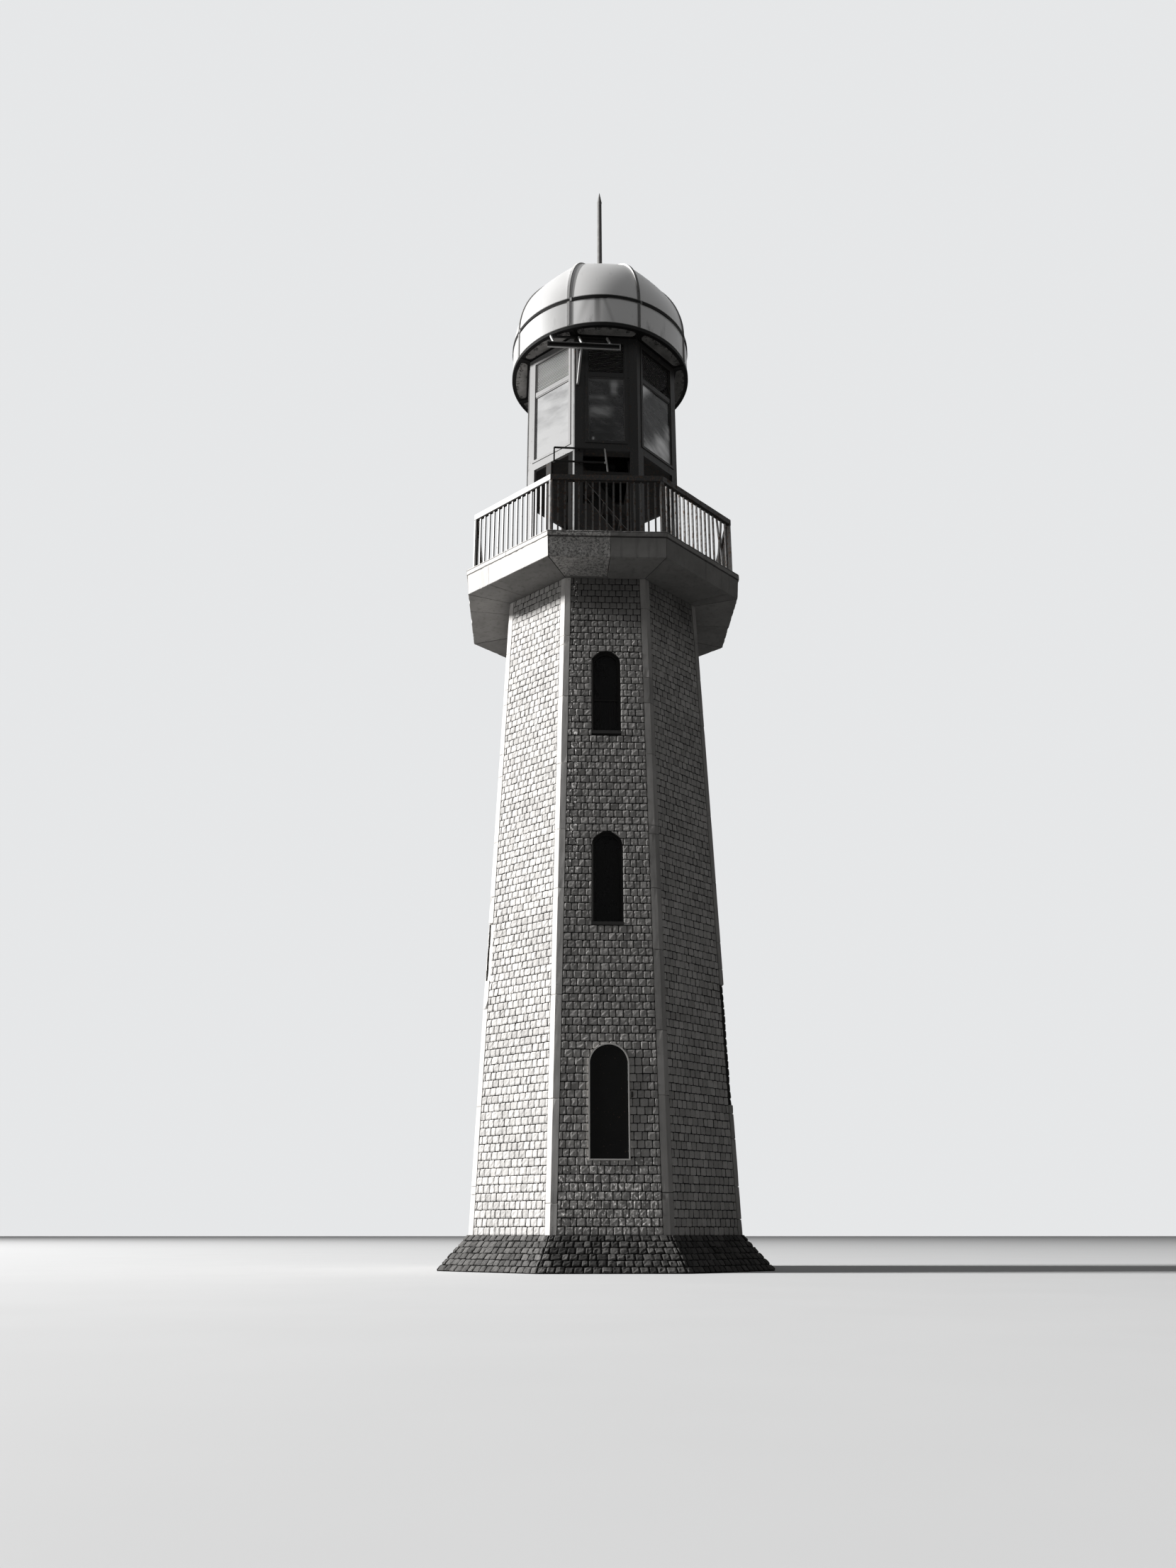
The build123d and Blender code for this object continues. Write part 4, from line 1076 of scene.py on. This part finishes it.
def rail_flats():
    """The flat iron bar that the balusters are fixed to, close under each box rail."""
    bm = bmesh.new()
    half = RAIL_LINE * MITRE - 0.01
    for face in range(8):
        path = [on_face(face, across, RAIL_LINE, RAIL_UNDERSIDE - 0.007) for across in (-half, half)]
        bar(bm, path, 0.012, 0.05, Vector((0, 0, 1)))
    keep_closed("rail_flats", bm, IRON, "dark_ironwork")


def pane_half(face):
    """Half the width of a lantern pane. The front one stands between the door's stiles."""
    return PANE_HALF if face else DOOR_HALF


def lantern_frames(name, finish, side, top, out, width, depth):
    """Four bars on each side of the lantern, inside (-1) or outside (1) the edge of what they frame."""
    bm = bmesh.new()
    shift = side * width / 2
    for face in range(8):
        half = pane_half(face) + shift
        low, high = GLASS_FOOT - shift, top + shift
        for z in (low, high):
            ends = [(across, out, z) for across in (-half - width / 2, half + width / 2)]
            lantern_bar(bm, face, ends, width, depth, False)
        for across in (-half, half):
            ends = [(across, out, z) for z in (low + width / 2, high - width / 2)]
            lantern_bar(bm, face, ends, width, depth, True)
    keep_closed(name, bm, finish, "lantern_paint")


def slat_tree():
    """Louvre slats, one above another, each tilted to shed rain."""
    sizes = ("Width", "Height", "Count", "Depth", "Thickness", "Tilt")
    bench, (block, width, height, count, depth, thickness, tilt) = new_tree("louvre_slats", sizes)
    points = bench.node("GeometryNodePoints", {}, {"Count": count})
    index = bench.node("GeometryNodeInputIndex")
    points = bench.moved(points, bench.vector(0.0, 0.0, (index + 0.5) * height / count))
    turn = bench.vector(tilt + bench.chance(-0.05, 0.05, index, 4), 0.0, 0.0)
    slats = bench.copies(points, block, turn, bench.vector(width, depth, thickness))
    bench.result(slats, LOUVRE_PAINT)
    return bench


def slat_block():
    """A unit slat with a rolled front lip."""
    bm = bmesh.new()
    lip = ((-0.5, -0.5), (-0.46, -1.4), (-0.42, -1.4), (-0.42, -0.5))
    outline = (*lip, (0.5, -0.5), (0.5, 0.5), (-0.5, 0.5))
    skin(bm, [[bm.verts.new((x, y, z)) for y, z in outline] for x in (-0.5, 0.5)])
    return closed(bm)


def louvres():
    """Slats in a slim frame on each side of the lantern."""
    tree = slat_tree()
    block = slat_block()
    sizes = {
        "Height": LOUVRE_TOP - LOUVRE_FOOT, "Count": 18.0, "Depth": 0.04, "Thickness": 0.003, "Tilt": 1.05
    }
    out = LANTERN_FACE - 0.028
    sides = []
    frames = bmesh.new()
    for face in range(8):
        half = pane_half(face) - 0.018
        place = face_frame(face, out, LOUVRE_FOOT, 0, LANTERN_TURN)
        sides.append(grown(block, tree, {**sizes, "Width": 2 * half}, place))
        for across in (-half - 0.009, half + 0.009):
            ends = [(across, out, z) for z in (LOUVRE_FOOT, LOUVRE_TOP)]
            lantern_bar(frames, face, ends, 0.018, 0.036, True)
    sides.append(closed(frames))
    keep("louvre_slats", joined(sides), LOUVRE_PAINT, "louvre_paint", "lantern_louvres")


def window_bars():
    """The rail across the upper window and the slim uprights under it, just in front of the pane."""
    bm = bmesh.new()
    foot, height, half, rise = UPPER_WINDOW
    place = face_frame(0, tower_r(foot) * TO_FACE - SETT_BED, foot, atan(BATTER))
    up = place.to_3x3() @ Vector((0, 0, 1))
    rail = height * 0.42
    ends = [place @ Vector((across, 0.086, rail)) for across in (0.04 - half, half - 0.04)]
    bar(bm, ends, 0.03, 0.03, up)
    for across in (-0.09, 0.06, 0.14):
        ends = [place @ Vector((across, 0.09, z)) for z in (0.04, rail)]
        bar(bm, ends, 0.016, 0.016, Vector((1, 0, 0)))
    keep_closed("window_bars", bm, WINDOW_PAINT, "window_paint")


def wall_staple():
    """A small iron staple let into the wall beside the plate."""
    bm = bmesh.new()
    across = 0.335
    out = tower_r(2.4) * TO_FACE
    feet = [on_face(0, across, out - 0.01, z) for z in (2.375, 2.445)]
    tips = [on_face(0, across, out + 0.022, z) for z in (2.38, 2.44)]
    bar(bm, [feet[0], *tips, feet[1]], 0.03, 0.016, Vector((1, 0, 0)))
    keep_closed("wall_staple", bm, IRON, "dark_ironwork")


def rounded(points, radius, lead):
    """An outline whose sharp corners, named by their numbers in lead, are rounded off."""
    outline = []
    steps = 5
    for k, point in enumerate(points):
        if k not in lead:
            outline.append(point)
            continue
        before = point + (points[k - 1] - point).normalized() * radius
        after = point + (points[(k + 1) % len(points)] - point).normalized() * radius
        for n in range(steps + 1):
            t = n / steps
            outline.append(before * (1 - t) ** 2 + point * 2 * t * (1 - t) + after * t * t)
    return outline


def soffit():
    """Mottled plates with rounded corners between the canopy brackets, on a dark lining."""
    plates = bmesh.new()
    lining = bmesh.new()
    bracket = 0.03
    for face in range(8):
        for bm, inset, low, top in ((plates, 0.045, 0.004, 0.01), (lining, 0.0, 0.011, 0.014)):
            reach = RING_R - 0.031 - inset
            inner = LANTERN_FACE - 0.05 + inset * 2.2
            spread = SECTOR / 2 - (bracket + inset) / reach
            root = inner * MITRE - (bracket + inset) / TO_FACE
            flat = [Vector((-root, inner, 0)), Vector((root, inner, 0))]
            for n in range(17):
                angle = spread * (1 - 2 * n / 16)
                flat.append(Vector((sin(angle) * reach, cos(angle) * reach, 0)))
            if inset:
                flat = rounded(flat, 0.06, (0, 1, 2, 18))
                flat = [p + noise.noise_vector(p * 30 + Vector((face, 0, 0))) * 0.006 for p in flat]
            rings = []
            for z in (CANOPY_FOOT + low, CANOPY_FOOT + top):
                rings.append([bm.verts.new(on_face(face, p.x, p.y, z, LANTERN_TURN)) for p in flat])
            skin(bm, rings)
    keep_closed("soffit_lining", lining, CANOPY_IRON, "canopy_iron", "canopy_soffit")
    keep_closed("soffit_plates", plates, SOFFIT, "soffit_paint")


wall_setts()
plinth_setts()
corner_stones()
balcony_stones()
worn_railing()
rail_flats()
lantern_frames("pane_beads", BEAD_PAINT, -1, GLASS_TOP, LANTERN_FACE - 0.016, 0.016, 0.016)
louvres()
window_bars()
lantern_frames("casements", LANTERN_PAINT, 1, LOUVRE_TOP, LANTERN_FACE + 0.005, 0.05, 0.014)
wall_staple()
soffit()

dress(mortar("plinth_mortar", 0.02), "plinth")
dress(TOWER_MORTAR, *[f"{side}_wall" for side in FACES])
dress(worn_deck("deck_screed", 0.36), "balcony_deck")
dress(worn_deck("inner_floor", 0.3), "middle_floor", "upper_floor")
dress(dressed_stone("surround_paint", 0.8, 0.95, 0.1), "plate_surround")
dress(dark_iron("plate_iron", 0.012, 0.1), "inscription_plate")
dress(WINDOW_PAINT, "middle_window_frame", "upper_window_frame")
dress(dirty_window(), "middle_window_glass", "upper_window_glass")
dress(dressed_stone("sill_stone", 0.04, 0.1, 0.2), "window_sills")
dress(RAILING_PAINT, "railing_posts", *[f"{side}_railing" for side in FACES])
dress(LANTERN_PAINT, "lantern_posts", "lantern_bottom_rails", "lantern_transoms", "lantern_top_rails")
dress(LANTERN_PAINT, "door_stiles")
dress(IRON, "lantern_floor", "side_post", "cross_bar", "stair_stringers", "stair_treads")
dress(cloudy_glass(), "lantern_glass")
dress(CANOPY_IRON, "canopy_brackets", "canopy_ring")
dress(rib_paint(), "middle_ring", "skirt_ribs", "dome_ribs", "dome_cap")
dress(canopy_sheet(), "skirt_sheets", "dome_gores")
dress(dark_iron("spire_paint", 0.26, 0.05), "spire_collar", "spire", "finial")
dress(bracket_paint(), "service_bracket", "guard_hoop")

# Pale floor under the lighthouse
bpy.ops.mesh.primitive_grid_add(x_subdivisions=8, y_subdivisions=8, size=400)
floor = bpy.context.object
floor.name = "studio_floor"
floor.data.materials.append(studio_floor())

# Light: a broad soft lamp from the left and in front, a weak one from the right, and a pale surround
for name, place, strength, breadth in (
    ("left_light", (-105, -1.25, 57.5), 300000, 22),
    ("right_light", (26, -30, 12), 320, 18),
):
    lamp = bpy.data.lights.new(name, "AREA")
    lamp.energy = strength
    lamp.size = breadth
    holder = placed(name, lamp)
    holder.location = place
    holder.rotation_euler = (Vector((0, 0, 10)) - Vector(place)).to_track_quat("-Z", "Y").to_euler()
world = bpy.data.worlds.new("studio")
world.use_nodes = True
world.node_tree.nodes.clear()
sky = Bench(world.node_tree)
strength = 0.052 + 0.868 * seen_directly(sky)
backdrop = sky.node("ShaderNodeBackground", {}, {"Color": (0.86, 0.87, 0.88, 1), "Strength": strength})
sky.node("ShaderNodeOutputWorld", {}, {"Surface": backdrop})
bpy.context.scene.world = world
bpy.context.scene.view_settings.view_transform = "Standard"

# Camera at the photograph's viewpoint
lens = bpy.data.cameras.new("camera")
lens.lens = 28.77
lens.sensor_width = 36
lens.clip_end = 1000
camera = placed("camera", lens)
camera.location = (-0.956, -20.534, 0.5225)
camera.rotation_euler = (radians(90 + 19.706), 0, radians(-2.006))
bpy.context.scene.camera = camera
